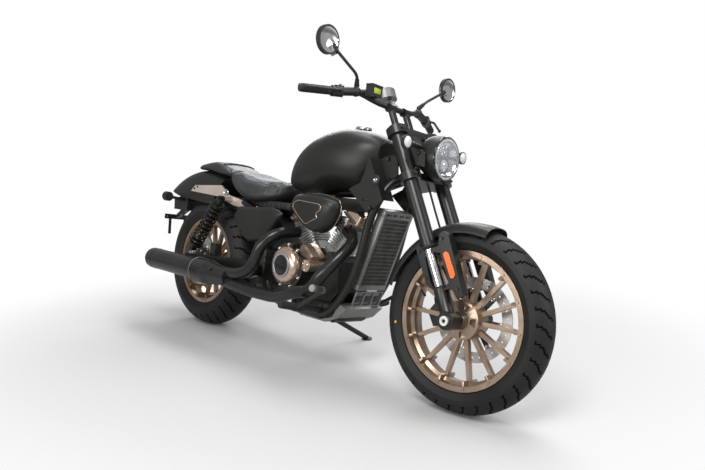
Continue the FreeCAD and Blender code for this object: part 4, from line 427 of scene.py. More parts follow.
hose = {"route": [(-0.145, 0.062, 0.08), (-0.143, 0.066, 0.135), (-0.118, 0.08, 0.185), (-0.086, 0.095, 0.23),
                  (-0.062, 0.098, 0.285), (-0.048, 0.084, 0.34), (-0.034, 0.06, 0.39), (-0.024, 0.044, 0.452),
                  (-0.02, 0.04, 0.5147)],
        "length": 0.471, "diameter": 0.008}
hoseCurve = bpy.data.curves.new("frontBrakeHose", "CURVE")
hoseCurve.dimensions = "3D"
hoseCurve.bevel_depth = hose["diameter"] / 2
hoseCurve.bevel_resolution = 4
hoseCurve.use_fill_caps = True
hoseLine = hoseCurve.splines.new("NURBS")
hoseLine.points.add(len(hose["route"]) - 1)
for dot, point in zip(hoseLine.points, hose["route"]):
    dot.co = (*(forkSpace @ Vector(point)), 1)
hoseLine.order_u = 3
hoseLine.use_endpoint_u = True
hoseLine.resolution_u = 12
hoseCurve.materials.append(finishes["rubber"])
brakeHose = addObject("frontBrakeHose", hoseCurve)
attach(brakeHose, "steering")
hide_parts("brake_hose")
print("brake hose ready")

# tyres with a zigzag tread

tyreSizes = {
    "front": {"node": "front_tyre", "body": "front_wheel", "radius": 0.3204, "crown": 0.0627, "rim": 0.24,
              "rimHalf": 0.048, "place": frontHub, "repeats": 34},
    "rear": {"node": "rear_tyre", "body": "rear_wheel", "radius": 0.3185, "crown": 0.087, "rim": 0.211,
             "rimHalf": 0.064, "place": rearHub, "repeats": 32},
}
tread = {"steps": 8, "rows": 26, "groove": 0.0034, "chamfer": 0.0006, "bare": 22, "walls": (0.35, 0.7)}


def zigzag(step, row, rows):
    # true where a cell of the tread is part of a groove
    side = row - (rows - 1) / 2
    out = abs(side) / (rows / 2)
    if out > 0.9 or out < 0.1:
        return False
    start = 4 if side > 0 else 0
    ends = []
    for edge in (out - 1 / rows, out + 1 / rows):
        if edge < 0.36:
            drift = edge * 5
        elif edge < 0.56:
            drift = 1.8 + (edge - 0.36) * 14
        else:
            drift = 4.6 + (edge - 0.56) * 4
        ends.append(int(start + drift))
    return step in [place % 8 for place in range(ends[0], ends[1] + 1)]


def makeTyre(name, size):
    shape = bmesh.new()
    crown, radius = size["crown"], size["radius"]
    shoulder = radius - crown
    bead = size["rim"] - 0.012
    inside = size["rimHalf"] - 0.006
    steps = tread["steps"] * size["repeats"]
    rows = tread["rows"]
    outline = [(bead, -inside), (size["rim"] + 0.0015, -inside - 0.0005),
               (size["rim"] + 0.004, -size["rimHalf"] - 0.002)]
    lower = math.radians(tread["bare"])
    for turn in tread["walls"]:
        angle = -math.pi / 2 + lower * turn
        outline.append((shoulder + crown * math.cos(angle), crown * math.sin(angle) * 0.995))
    for row in range(rows + 1):
        angle = (row / rows - 0.5) * (math.pi - lower * 2)
        outline.append((shoulder + crown * math.cos(angle), crown * math.sin(angle)))
    outline += [(r, -y) for r, y in reversed(outline[:5])]
    points = [shape.verts.new((r, y, 0)) for r, y in outline]
    edges = [shape.edges.new(pair) for pair in zip(points, points[1:] + points[:1])]
    bmesh.ops.spin(shape, geom=points + edges, cent=(0, 0, 0), axis=(0, 1, 0), angle=2 * math.pi, steps=steps,
                   use_merge=True)
    bmesh.ops.remove_doubles(shape, verts=shape.verts, dist=0.00001)
    bmesh.ops.recalc_face_normals(shape, faces=shape.faces)
    cut = []
    sweep = math.pi - lower * 2
    for face in shape.faces:
        middle = face.calc_center_median()
        out = math.hypot(middle.x, middle.z)
        angle = math.atan2(middle.y, out - shoulder)
        row = int((angle / sweep + 0.5) * rows)
        if 0 <= row < rows and out > shoulder + crown * 0.2:
            turn = math.atan2(middle.z, middle.x) % (2 * math.pi)
            step = int(turn / (2 * math.pi) * steps) % tread["steps"]
            if zigzag(step, row, rows):
                cut.append(face)
    bmesh.ops.inset_region(shape, faces=cut, thickness=tread["chamfer"], depth=0.0, use_even_offset=True)
    # the sunk groove floors take the darker rubber, painted shade in the grooves
    for face in cut:
        face.material_index = 1
    deep = {vert for face in cut for vert in face.verts}
    for vert in deep:
        out = math.hypot(vert.co.x, vert.co.z)
        centre = Vector((vert.co.x / out * shoulder, 0, vert.co.z / out * shoulder))
        vert.co -= (vert.co - centre).normalized() * tread["groove"]
    piece = newPiece(name, shape, size["place"], ["tyreRubber", "grooveShadeRubber"], size["body"],
                     smooth=32)
    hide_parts(size["node"])


makeTyre("frontTyreTread", tyreSizes["front"])
makeTyre("rearTyreTread", tyreSizes["rear"])
print("tyres ready")

# plain nodes with rounded edges

for name, look, width in (
        ("front_rim", "bronzeCast", 0.0016), ("rear_rim", "bronzeCast", 0.0016),
        ("front_disc_carrier", "darkAlloy", 0.0008), ("rear_disc_carrier", "darkAlloy", 0.0008)):
    rounded(name, look, width, "front_wheel" if name.startswith("front") else "rear_wheel")
for name, look, width in (
        ("side_covers", "mattePaint", 0.009), ("head_panels", "mattePaint", 0.0015),
        ("swingarm", "framePaint", 0.003), ("fender_struts", "paleBronze", 0.0018),
        ("crankcase", "darkAlloy", 0.002), ("belly_pan", "greyAlloy", 0.001),
        ("battery_box", "blackPlastic", 0.003), ("rear_caliper", "darkAlloy", 0.002),
        ("tail_lamps", "blackPlastic", 0.003), ("plate_bracket", "framePaint", 0.0008),
        ("clutch_cover", "bronzePlate", 0.002), ("left_engine_cover", "darkAlloy", 0.002),
        ("head_covers", "bronzePlate", 0.002)):
    rounded(name, look, width, "chassis")
for name, look, width in (
        ("fork_guards", "framePaint", 0.0014), ("headlight_brackets", "framePaint", 0.001),
        ("triple_clamps", "framePaint", 0.002), ("front_caliper", "darkAlloy", 0.002),
        ("axle_clamps", "framePaint", 0.0012), ("fork_reflectors", "orangeLens", 0.001)):
    rounded(name, look, width, "steering")
print("edges rounded")

# headlight: a bucket with a bowl sunk in its face, a projector, a bright ring and a clear dome

headlight = {"ahead": 0.107, "height": 0.5694, "bezel": 0.0795, "bowl": 0.0715, "ring": 0.0025,
             "projector": 0.026, "dome": 0.0756, "domeRise": 0.0225}
headMiddle = onFork(headlight["ahead"], 0, headlight["height"])
lampSpace = steered @ Matrix.Translation(headMiddle) @ Matrix.Rotation(math.radians(90), 4, "Y")
lampAhead = (lampSpace.to_3x3() @ Vector((0, 0, 1))).normalized()
machineAhead = (leaned.to_3x3() @ Vector((1, 0, 0))).normalized()
machineLeft = (leaned.to_3x3() @ Vector((0, 1, 0))).normalized()


def sink(shape, face, way, rings):  # steps a face in and along, one ring at a time: inset, move, look
    for inset, move, look in rings:
        made = bmesh.ops.inset_region(shape, faces=[face], thickness=inset, depth=0)
        bmesh.ops.translate(shape, verts=face.verts, vec=way * move)
        for ring in made["faces"]:
            ring.material_index = look
        face.material_index = look


def facesToward(shape, way, count=1):
    flat = [face for face in shape.faces if face.normal.dot(way) > 0.985]
    return sorted(flat, key=lambda face: -face.calc_area())[:count]


bucket = copyOf("headlight_shell")
for front in facesToward(bucket, lampAhead):
    sink(bucket, front, lampAhead, ((0.0012, 0.003, 1), (0.0028, 0.0008, 1), (0.0022, -0.0035, 1),
                                    (0.0006, -0.0015, 2), (0.006, -0.0125, 2), (0.012, -0.014, 2),
                                    (0.018, -0.009, 2), (0.012, -0.002, 2)))
bucketPiece = newPiece("headlightBucket", bucket, Matrix(), ["mattePaint", "glossBlack", "reflector"],
                       "steering", loose=True)
softEdges(bucketPiece, 0.0006)
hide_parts("headlight_shell")

lamp = bmesh.new()
ringOut, ringIn = headlight["bowl"], headlight["bowl"] - headlight["ring"] * 2
lathe(lamp, [(ringIn, 0.0005), (ringOut, 0.0005), (ringOut, 0.0045), ((ringOut + ringIn) / 2, 0.0062),
             (ringIn, 0.0045), (ringIn, 0.0005)], steps=72, axis=(0, 0, 1))
newPiece("headlightRing", lamp, lampSpace, "brightSteel", "steering")

lamp = bmesh.new()
size = headlight["projector"]
lathe(lamp, [(size * 1.18, -0.03), (size * 1.18, -0.006), (size * 1.05, -0.003), (size, -0.005),
             (size, -0.03)], steps=48, axis=(0, 0, 1))
newPiece("headlightProjectorRim", lamp, lampSpace @ Matrix.Translation((0.024, 0, 0)), "glossBlack",
         "steering")
lamp = bmesh.new()
lathe(lamp, [(0, 0.004), (size * 0.4, 0.0025), (size * 0.75, -0.003), (size * 0.98, -0.012),
             (size * 0.98, -0.022), (0, -0.022)], steps=48, axis=(0, 0, 1))
newPiece("headlightProjectorLens", lamp, lampSpace @ Matrix.Translation((0.024, 0, 0)), "lampGlass",
         "steering")
lamp = bmesh.new()
addBox(lamp, (-0.008, 0, -0.012), (0.004, 0.126, 0.02), bevel=0.001, look=1)
for across in (-0.036, -0.012, 0.012, 0.036):
    addBox(lamp, (-0.034, across, -0.02), (0.044, 0.0016, 0.012), bevel=0.0005)
for across in (-0.024, 0.0, 0.024):
    addBox(lamp, (-0.034, across, -0.024), (0.02, 0.015, 0.006), bevel=0.002)
newPiece("headlightReflectorCells", lamp, lampSpace, ["reflector", "glossBlack"], "steering")

glass = bmesh.new()
rise, wide = headlight["domeRise"], headlight["dome"]
lathe(glass, [(0, 0.0064 + rise), (wide * 0.3, 0.0064 + rise * 0.92), (wide * 0.6, 0.0064 + rise * 0.66),
              (wide * 0.85, 0.0064 + rise * 0.29), (wide, 0.0064), (wide, 0.0036), (wide * 0.94, 0.0036),
              (wide * 0.94, 0.0052), (wide * 0.82, 0.0064 + rise * 0.24), (wide * 0.58, 0.0064 + rise * 0.58),
              (wide * 0.29, 0.0064 + rise * 0.83), (0, 0.0064 + rise * 0.9)], steps=72, axis=(0, 0, 1))
glassPiece = newPiece("headlightGlass", glass, lampSpace, "thinGlass", "steering", smooth=50)
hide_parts("headlight_lens")
print("headlight ready")

# mirrors: a dark ring round a dished bright back, and the glass behind

mirrorCopy = copyOf("mirrors")
steeredAhead = (steered.to_3x3() @ Vector((1, 0, 0))).normalized()
for front in facesToward(mirrorCopy, steeredAhead, 2):
    sink(mirrorCopy, front, steeredAhead, ((0.0015, 0, 0), (0.0055, 0.0, 0), (0.0008, -0.0022, 1),
                                          (0.009, -0.0028, 1), (0.012, -0.0016, 1), (0.012, 0.0, 1)))
for back in facesToward(mirrorCopy, -steeredAhead, 2):
    sink(mirrorCopy, back, -steeredAhead, ((0.002, 0, 0), (0.0006, -0.001, 2)))
mirrorPiece = newPiece("mirrorHeads", mirrorCopy, Matrix(), ["blackPlastic", "brightSteel", "mirrorGlass"],
                       "steering", loose=True)
softEdges(mirrorPiece, 0.0012)
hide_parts("mirrors")
boots = bmesh.new()
for side in (-1, 1):
    foot, bend = (spot(x, side * (0.194 + 0.18 * y), z)
                  for x, y, z in ((0.687, 0.0, 1.104), (0.699, 0.13, 1.137)))
    for share, wide in ((0.0, 0.0105), (0.22, 0.0095), (0.44, 0.0085)):
        addRod(boots, foot.lerp(bend, share), foot.lerp(bend, share + 0.2), wide, wide * 0.86)
newPiece("mirrorBoots", boots, steered, "rubber", "steering")
print("mirrors ready")

# gauge: a bright rim round a dark face, seen from the saddle

gaugeCopy = copyOf("gauge")
gaugeUp = (steered.to_3x3() @ Vector((-0.5, 0, 1)).normalized()).normalized()
for top in facesToward(gaugeCopy, gaugeUp):
    sink(gaugeCopy, top, gaugeUp, ((0.0015, 0, 0), (0.003, 0, 1), (0.0008, -0.002, 2), (0.012, 0, 2)))
gaugePiece = newPiece("gaugePod", gaugeCopy, Matrix(), ["greyAlloy", "brightSteel", "glossBlack"], "steering",
                      loose=True)
softEdges(gaugePiece, 0.002)
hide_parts("gauge")

# front signals: a black bowl with a pale dome

signals = {"ahead": 0.0743, "spread": 0.177, "height": 0.6219, "radius": 0.024, "deep": 0.028}
signalShells, signalDomes = bmesh.new(), bmesh.new()
radius, half = signals["radius"], signals["deep"] / 2
for side in (-1, 1):
    middle = onFork(signals["ahead"], side * signals["spread"], signals["height"])
    turn = Matrix.Translation(middle) @ Matrix.Rotation(math.radians(90), 4, "Y")
    addLathe(signalShells, [(0, -half), (radius * 0.62, -half * 0.96), (radius * 0.92, -half * 0.5),
                            (radius, half * 0.1), (radius, half * 0.55), (radius * 0.9, half * 0.6),
                            (radius * 0.88, half * 0.1), (0, half * 0.1)], turn, steps=40)
    addLathe(signalDomes, [(0, half), (radius * 0.35, half * 0.97), (radius * 0.65, half * 0.84),
                           (radius * 0.84, half * 0.58), (radius * 0.87, half * 0.2), (0, half * 0.14)],
             turn, steps=40)
signalPiece = newPiece("frontSignalShells", signalShells, steered, "blackPlastic", "steering")
newPiece("frontSignalDomes", signalDomes, steered, "whiteLens", "steering")
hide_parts("front_signals")
print("front lamps ready")

# grips: ribbed sleeves with a flange, and the bar's ends

grip = {"radius": 0.0158, "long": 0.125, "ribs": 17}
barEnds = [(spot(0.637, side * 0.4, 1.052), spot(0.678, side * 0.272, 1.066)) for side in (-1, 1)]
gripMesh, barCaps = bmesh.new(), bmesh.new()
for end, inner in barEnds:
    turn = alongZ(end, inner - end)
    radius = grip["radius"]
    profile = [(0.0122, 0.0), (radius * 0.97, 0.0)]
    pitch = (grip["long"] - 0.028) / grip["ribs"]
    for rib in range(grip["ribs"]):
        low = 0.004 + pitch * rib
        profile += [(radius, low), (radius, low + pitch * 0.55), (radius * 0.91, low + pitch * 0.65),
                    (radius * 0.91, low + pitch * 0.95)]
    flange = grip["long"] - 0.022
    profile += [(radius, flange), (radius, flange + 0.008), (radius, flange + 0.009),
                (radius, flange + 0.0135), (0.0122, flange + 0.0135)]
    addLathe(gripMesh, profile, turn, steps=32)
    addLathe(barCaps, [(0, -0.008), (radius * 0.6, -0.0076), (radius * 0.9, -0.005), (radius * 0.92, -0.0005),
                       (0, -0.0005)], turn, steps=32)
gripPiece = newPiece("ribbedGrips", gripMesh, steered, "rubber", "steering")
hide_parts("grips")
newPiece("barEndCaps", barCaps, steered, "darkAlloy", "steering")

# switches and the small box at the right of the bar

switchBits, redBits, screenBits, boltBits = bmesh.new(), bmesh.new(), bmesh.new(), bmesh.new()
for end, inner in barEnds:
    along = (inner - end).normalized()
    up = Vector((0.35, 0, 1)).normalized()
    stop = end + along * 0.1375
    for shift, tall, wide in ((-0.012, 0.0215, 0.008), (0.002, 0.0225, 0.009), (0.014, 0.0215, 0.007)):
        middle = stop + along * shift
        addBox(switchBits, middle + up * 0.0205, (0.014, wide, 0.004), bevel=0.0012)
    for shift in (-0.0195, 0.0195):
        addLathe(switchBits, [(0.0185, -0.0012), (0.0208, -0.0008), (0.0208, 0.0008), (0.0185, 0.0012)],
                 alongZ(stop + along * shift, along), steps=32)
    if end.y < 0:
        addRod(redBits, stop + along * 0.004 + up * 0.018, stop + along * 0.004 + up * 0.0265, 0.0062, 0.0054)
        addBox(redBits, stop + along * 0.004 + up * 0.0268, (0.003, 0.009, 0.0016), bevel=0.0006)
newPiece("switchKeys", switchBits, steered, "blackPlastic", "steering")
newPiece("redKey", redBits, steered, "redButton", "steering")
smallBox = {"front": spot(0.709, 0, 1.0).x + 0.032, "y": -0.15, "screen": 1.093, "lid": 1.1135}
boxFront, boxY = smallBox["front"], smallBox["y"]
addBox(screenBits, (boxFront + 0.0006, boxY, smallBox["screen"]), (0.0016, 0.036, 0.02), bevel=0.0007)
newPiece("smallBoxPanel", screenBits, steered, "screen", "steering")
lid = bmesh.new()
addBox(lid, (boxFront - 0.016, boxY, smallBox["lid"]), (0.035, 0.061, 0.006), bevel=0.0018)
newPiece("smallBoxLid", lid, steered, "blackPlastic", "steering")
for dy in (-0.022, 0.022):
    addBolt(boltBits, (boxFront - 0.016, boxY + dy, smallBox["lid"] + 0.003), (0, 0, 1), 0.003)
newPiece("smallBoxScrews", boltBits, steered, "brightSteel", "steering")
print("bar ready")

# fork: seals, caps and bolts, and the ring and nuts at the axles' ends

forkBits = {"spread": 0.1, "tube": 0.026, "slider": 0.0205, "seal": 0.262, "foot": 0.112, "top": 0.735,
            "clamps": (0.515, 0.7), "guard": 0.0175}
sealRubber, forkCaps, forkBolts = bmesh.new(), bmesh.new(), bmesh.new()
for side in (-1, 1):
    y = side * forkBits["spread"]
    tube = forkBits["tube"]
    leg = forkBits["slider"]
    addLathe(sealRubber, [(leg, -0.009), (0.0225, -0.0088), (0.0245, -0.003), (tube + 0.0018, -0.0018),
                          (tube + 0.0018, 0.004), (tube + 0.0004, 0.0055), (tube + 0.0004, -0.0005),
                          (leg, -0.0005)], Matrix.Translation((0, y, forkBits["seal"])), steps=48)
    addLathe(sealRubber, [(leg, 0.0), (0.0248, 0.0), (0.0248, 0.004), (0.022, 0.0075), (leg, 0.0075)],
             Matrix.Translation((0, y, forkBits["foot"])), steps=48)
    addLathe(forkCaps, [(0, 0.0002), (tube * 0.98, 0.0002), (tube * 0.98, 0.0045), (tube * 0.8, 0.006),
                        (tube * 0.52, 0.006), (tube * 0.5, 0.0095), (0, 0.0095)],
             Matrix.Translation((0, y, forkBits["top"])), steps=48)
    for low in forkBits["clamps"]:
        for dy in (-0.014, 0.014):
            addBolt(forkBolts, (tube + 0.0125, y + side * dy, low + 0.015), (1, 0, 0), 0.0045)
    face = side * (forkBits["spread"] + forkBits["guard"])
    for xShare, zShare in ((-0.24, 0.86), (-0.25, 0.45), (0.5, 0.9), (0.52, 0.12)):
        addBolt(forkBolts, (0.14 * xShare, face, 0.06 + 0.23 * zShare), (0, side, 0), 0.0052)
newPiece("forkSeals", sealRubber, forkSpace, "rubber", "steering")
newPiece("forkCaps", forkCaps, forkSpace, "darkAlloy", "steering")
newPiece("forkBolts", forkBolts, forkSpace, "darkAlloy", "steering")

axleRing = bmesh.new()
ringEnd = 0.1394
lathe(axleRing, [(0.0102, -ringEnd - 0.0001), (0.0104, -ringEnd - 0.0012), (0.0142, -ringEnd - 0.0012),
                 (0.0146, -ringEnd - 0.0001), (0.0102, -ringEnd - 0.0001)], steps=48)
newPiece("axleRing", axleRing, frontHub, "whitePaint", "steering")
for hub, y, body, name in ((frontHub, ringEnd, "steering", "frontAxleNut"),
                           (rearHub, 0.1745, "chassis", "rearAxleNut")):
    nut = bmesh.new()
    bmesh.ops.create_cone(nut, cap_ends=True, segments=6, radius1=0.0125, radius2=0.0125, depth=0.006,
                          matrix=Matrix.Translation((0, y + 0.0028, 0)) @ acrossY)
    softEdges(newPiece(name, nut, hub, "brightSteel", body), 0.0008)

# wheels: bolts on the disc carriers, lips on the hubs, bosses on the rims, a valve and a balance dot

wheelBits = {"discBolts": 7, "hub": 0.0245, "lip": 0.0402, "bosses": 14}
for name, hub, body, offset, ring in (("front", frontHub, "front_wheel", 0.052, 0.1095),
                                      ("rear", rearHub, "rear_wheel", -0.082, 0.0825)):
    bolts = bmesh.new()
    for turn in range(wheelBits["discBolts"]):
        angle = 2 * math.pi * turn / wheelBits["discBolts"]
        for reach, radius in ((ring - 0.004, 0.0062), (0.045, 0.0048)):
            place = Vector((math.cos(angle) * reach, 0, -math.sin(angle) * reach))
            for way in (1, -1):
                addBolt(bolts, place + Vector((0, offset + way * 0.0026, 0)), (0, way, 0), radius)
    newPiece(name + "DiscBolts", bolts, hub, "brightSteel", body)
    caps = bmesh.new()
    inner = wheelBits["hub"]
    for way in (1, -1):
        face = wheelBits["lip"] * way
        lathe(caps, [(inner, face - way * 0.002), (inner, face + way * 0.0005),
                     (inner + 0.004, face + way * 0.0018), (inner + 0.008, face + way * 0.0018),
                     (inner + 0.0092, face - way * 0.002)], steps=56)
    rimFaces = surfaceOf(name + "_rim", hub)
    reach = tyreSizes[name]["rim"] - 0.0125
    for turn in range(wheelBits["bosses"]):
        angle = 2 * math.pi * turn / wheelBits["bosses"]
        for way in (1, -1):
            above = Vector((math.cos(angle) * reach, way * 0.2, math.sin(angle) * reach))
            hit = rimFaces.ray_cast(above, Vector((0, -way, 0)))[0]
            if hit:
                addRod(caps, hit - Vector((0, way * 0.002, 0)), hit + Vector((0, way * 0.0022, 0)),
                       0.0078, 0.006)
    newPiece(name + "HubLips", caps, hub, "bronzeCast", body)

valve = bmesh.new()
addRod(valve, (0.205, -0.012, 0.0), (0.178, -0.03, 0.0), 0.0045, 0.0038)
addRod(valve, (0.178, -0.03, 0.0), (0.170, -0.0353, 0.0), 0.0052, 0.0048)
newPiece("frontValve", valve, frontHub @ Matrix.Rotation(math.radians(200), 4, "Y"), "darkAlloy",
         "front_wheel")
dot = bmesh.new()
bmesh.ops.create_cone(dot, cap_ends=True, segments=24, radius1=0.0055, radius2=0.005, depth=0.0012,
                      matrix=Matrix.Translation((-0.2537, -0.0618, -0.055)) @ acrossY)
newPiece("balanceDot", dot, frontHub, "amberDot", "front_wheel")
print("wheels and fork ready")

# radiator: tanks, side rails and wavy rows between them

radiator = {"foot": (1.07406, 0, 0.345), "tilt": 17.67, "half": 0.08, "tall": 0.3327, "rows": 18, "waves": 26,
            "low": 0.024, "high": 0.304}
radiatorSpace = (leaned @ Matrix.Translation(radiator["foot"])
                 @ Matrix.Rotation(math.radians(radiator["tilt"]), 4, "Y"))
frameBits = bmesh.new()
half, tall = radiator["half"], radiator["tall"]
for z, high in ((0.012, 0.024), (tall - 0.0145, 0.029)):
    addBox(frameBits, (-0.0135, 0, z), (0.034, half * 2 + 0.004, high), bevel=0.004)
for side in (-1, 1):
    addBox(frameBits, (-0.014, side * (half - 0.004), tall / 2), (0.032, 0.012, tall - 0.05), bevel=0.002)
newPiece("radiatorTanks", frameBits, radiatorSpace, "greyAlloy", "chassis")
# slots in the tank face as thin gloss black patches: painted shade standing for their openings
tankSlots = bmesh.new()
for y in (-0.054, -0.018, 0.018, 0.054):
    addBox(tankSlots, (0.0036, y, tall - 0.0145), (0.0012, 0.026, 0.009), bevel=0.0005)
newPiece("radiatorTankSlots", tankSlots, radiatorSpace, "glossBlack", "chassis")
core = bmesh.new()
pitch = (radiator["high"] - radiator["low"]) / radiator["rows"]
reach = half - 0.011
for row in range(radiator["rows"] + 1):
    addBox(core, (0.0002, 0, radiator["low"] + pitch * row), (0.004, reach * 2, 0.0022))
newPiece("radiatorTubes", core, radiatorSpace, "radiatorFins", "chassis")
waves = bmesh.new()
count = radiator["waves"] * 2
line = [waves.verts.new((-0.0012, -reach + reach * 2 * step / count,
                         (1 if step % 2 else -1) * (pitch / 2 - 0.0012))) for step in range(count + 1)]
edges = [waves.edges.new(pair) for pair in zip(line, line[1:])]
out = bmesh.ops.extrude_edge_only(waves, edges=edges)
bmesh.ops.translate(waves, verts=[item for item in out["geom"] if isinstance(item, bmesh.types.BMVert)],
                    vec=(0.0028, 0, 0))
bmesh.ops.solidify(waves, geom=waves.faces[:], thickness=0.0006)
rowMesh = bpy.data.meshes.new("radiatorRow")
waves.to_mesh(rowMesh)
waves.clear()
for row in range(radiator["rows"]):
    before = set(waves.verts)
    waves.from_mesh(rowMesh)
    bmesh.ops.translate(waves, verts=list(set(waves.verts) - before),
                        vec=(0, 0, radiator["low"] + pitch * (row + 0.5)))
bpy.data.meshes.remove(rowMesh)
newPiece("radiatorWaves", waves, radiatorSpace, "radiatorFins", "chassis", loose=True)
# the bracket's slots as thin gloss black patches between its ribs: painted shade standing for their openings
lower = bmesh.new()
for y in (-0.05, 0, 0.05):
    addBox(lower, (0.0006, y, -0.038), (0.0014, 0.036, 0.026), bevel=0.0005)
newPiece("lowerBracketSlots", lower, radiatorSpace, "glossBlack", "chassis")
lower = bmesh.new()
for z in (-0.006, -0.066):
    addBox(lower, (0.0012, 0, z), (0.005, 0.156, 0.006), bevel=0.0015)
for y in (-0.075, -0.025, 0.025, 0.075):
    addBox(lower, (0.0012, y, -0.036), (0.005, 0.008, 0.056), bevel=0.0015)
addBox(lower, (-0.004, 0, -0.036), (0.004, 0.15, 0.062), bevel=0.001)
newPiece("lowerBracketRibs", lower, radiatorSpace, "greyAlloy", "chassis")
print("radiator ready")

# engine: the clutch cover's middle, bolts, cover lines and plug caps

engineBits = {"clutch": (0.503, 0.398), "crank": (0.532, 0.37), "pump": (0.571, 0.411), "face": 0.215,
              "flange": 0.181, "lean": 33, "base": 0.1, "top": 0.2854, "half": (0.05, 0.056),
              "coverBolts": 9, "boltRing": 0.0855, "clutchRibs": 24, "pumpBolts": 3, "pumpRing": 0.0165}
clutchSpot = spot(engineBits["clutch"][0], 0, engineBits["clutch"][1])
crankSpot = spot(engineBits["crank"][0], 0, engineBits["crank"][1])
pumpSpot = spot(engineBits["pump"][0], 0, engineBits["pump"][1])
clutchSpace = leaned @ Matrix.Translation(clutchSpot)
disc = bmesh.new()
face = engineBits["face"]
lathe(disc, [(0, -face - 0.0012), (0.034, -face - 0.0012), (0.036, -face - 0.0004), (0.041, -face - 0.0004),
             (0.041, -face + 0.001), (0, -face + 0.001)], steps=64)
newPiece("clutchMiddle", disc, clutchSpace, "glossBlack", "chassis")
disc = bmesh.new()
lathe(disc, [(0.041, -face + 0.0006), (0.0413, -face - 0.0014), (0.042, -face - 0.002),
             (0.0495, -face - 0.002), (0.0503, -face - 0.0012), (0.0505, -face + 0.0006)], steps=64)
newPiece("clutchRing", disc, clutchSpace, "brushedRing", "chassis")
ribs, coverBolts = bmesh.new(), bmesh.new()
for turn in range(engineBits["clutchRibs"]):
    place = Matrix.Rotation(2 * math.pi * turn / engineBits["clutchRibs"], 4, "Y")
    addBox(ribs, (0.0605, -face + 0.0068, 0), (0.013, 0.0016, 0.0016), place=place, bevel=0.0005)
newPiece("clutchRibs", ribs, clutchSpace, "bronzePlate", "chassis")
flange = engineBits["flange"]
for turn in range(engineBits["coverBolts"]):
    angle = 2 * math.pi * (turn + 0.3) / engineBits["coverBolts"]
    across, up = math.cos(angle) * engineBits["boltRing"], math.sin(angle) * engineBits["boltRing"]
    place = clutchSpot + Vector((across, -flange, up))
    if (place - pumpSpot - Vector((0, -flange, 0))).length > 0.036:
        addBolt(coverBolts, place, (0, -1, 0), 0.005)
    addBolt(coverBolts, crankSpot + Vector((across, flange * 0.8, up)), (0, 1, 0), 0.005)
pumpTurns = [2 * math.pi * turn / engineBits["pumpBolts"] + 0.5 for turn in range(engineBits["pumpBolts"])]
for angle in pumpTurns:
    across, up = math.cos(angle) * engineBits["pumpRing"], math.sin(angle) * engineBits["pumpRing"]
    addBolt(coverBolts, pumpSpot + Vector((across, -0.175, up)), (0, -1, 0), 0.0038)
newPiece("engineBolts", coverBolts, leaned, "brightSteel", "chassis")
pumpLobes = bmesh.new()
lathe(pumpLobes, [(0, -0.1765), (0.009, -0.1765), (0.0105, -0.175), (0, -0.175)], steps=32)
for angle in pumpTurns:
    addBox(pumpLobes, (engineBits["pumpRing"], -0.1752, 0), (0.013, 0.0016, 0.011),
           place=Matrix.Rotation(-angle, 4, "Y"), bevel=0.0006)
newPiece("pumpLobes", pumpLobes, leaned @ Matrix.Translation(pumpSpot), "bronzePlate", "chassis")

for sign, name in ((1, "front"), (-1, "rear")):
    cylinderTurn = Matrix.Rotation(math.radians(engineBits["lean"]) * sign, 4, "Y")
    space = leaned @ Matrix.Translation(crankSpot) @ cylinderTurn
    high = engineBits["top"] + 0.04
    lines, studs, caps = bmesh.new(), bmesh.new(), bmesh.new()
    halfX, halfY = engineBits["half"]
    for z in (0.004, 0.0085):
        addBox(lines, (0, 0, engineBits["top"] + z), (halfX * 2 + 0.0016, halfY * 2 + 0.0016, 0.0016),
               bevel=0.0004)
    for dx in (-0.018, 0.0, 0.018):
        addBox(lines, (dx, 0, high - 0.0005), (0.0035, 0.066, 0.003), bevel=0.001)
    newPiece(name + "CoverLines", lines, space, "bronzePlate", "chassis")
    for dx, dy in ((-0.034, -0.041), (0.034, -0.041), (-0.034, 0.041), (0.034, 0.041)):
        addBolt(studs, (dx, dy, engineBits["top"] + 0.0155), (0, 0, 1), 0.0048)
    for dx in (-0.036, 0.036):
        addBolt(studs, (dx, -0.053, engineBits["base"] + 0.016), (0, -1, 0), 0.0046)
    newPiece(name + "HeadStuds", studs, space, "brightSteel", "chassis")
    addRod(caps, (0.012 * sign, -0.05, 0.262), (0.016 * sign, -0.078, 0.268), 0.0085, 0.0075)
    addRod(caps, (0.016 * sign, -0.078, 0.268), (0.018 * sign, -0.088, 0.276), 0.0078, 0.006)
    newPiece(name + "PlugCap", caps, space, "bronzeCast", "chassis")
print("engine ready")

# air cleaner: a bronze outline on the cover, and the rim behind the cover

airCleaner = {"outline": [(0.802, 0.6545), (0.8285, 0.6655), (0.9495, 0.6585), (0.9625, 0.649),
                          (0.9605, 0.636), (0.944, 0.6265), (0.941, 0.616), (0.949, 0.606), (0.888, 0.577),
                          (0.872, 0.5795), (0.8235, 0.6145), (0.7975, 0.638)],
              "wire": 0.0015, "rimWire": 0.0012, "rimFace": 0.1585, "rimSpread": 1.004,
              "cover": [(0.497, 0.66), (0.51, 0.685), (0.54, 0.696), (0.63, 0.69), (0.662, 0.668),
                        (0.655, 0.6), (0.615, 0.55), (0.575, 0.553), (0.52, 0.6)]}

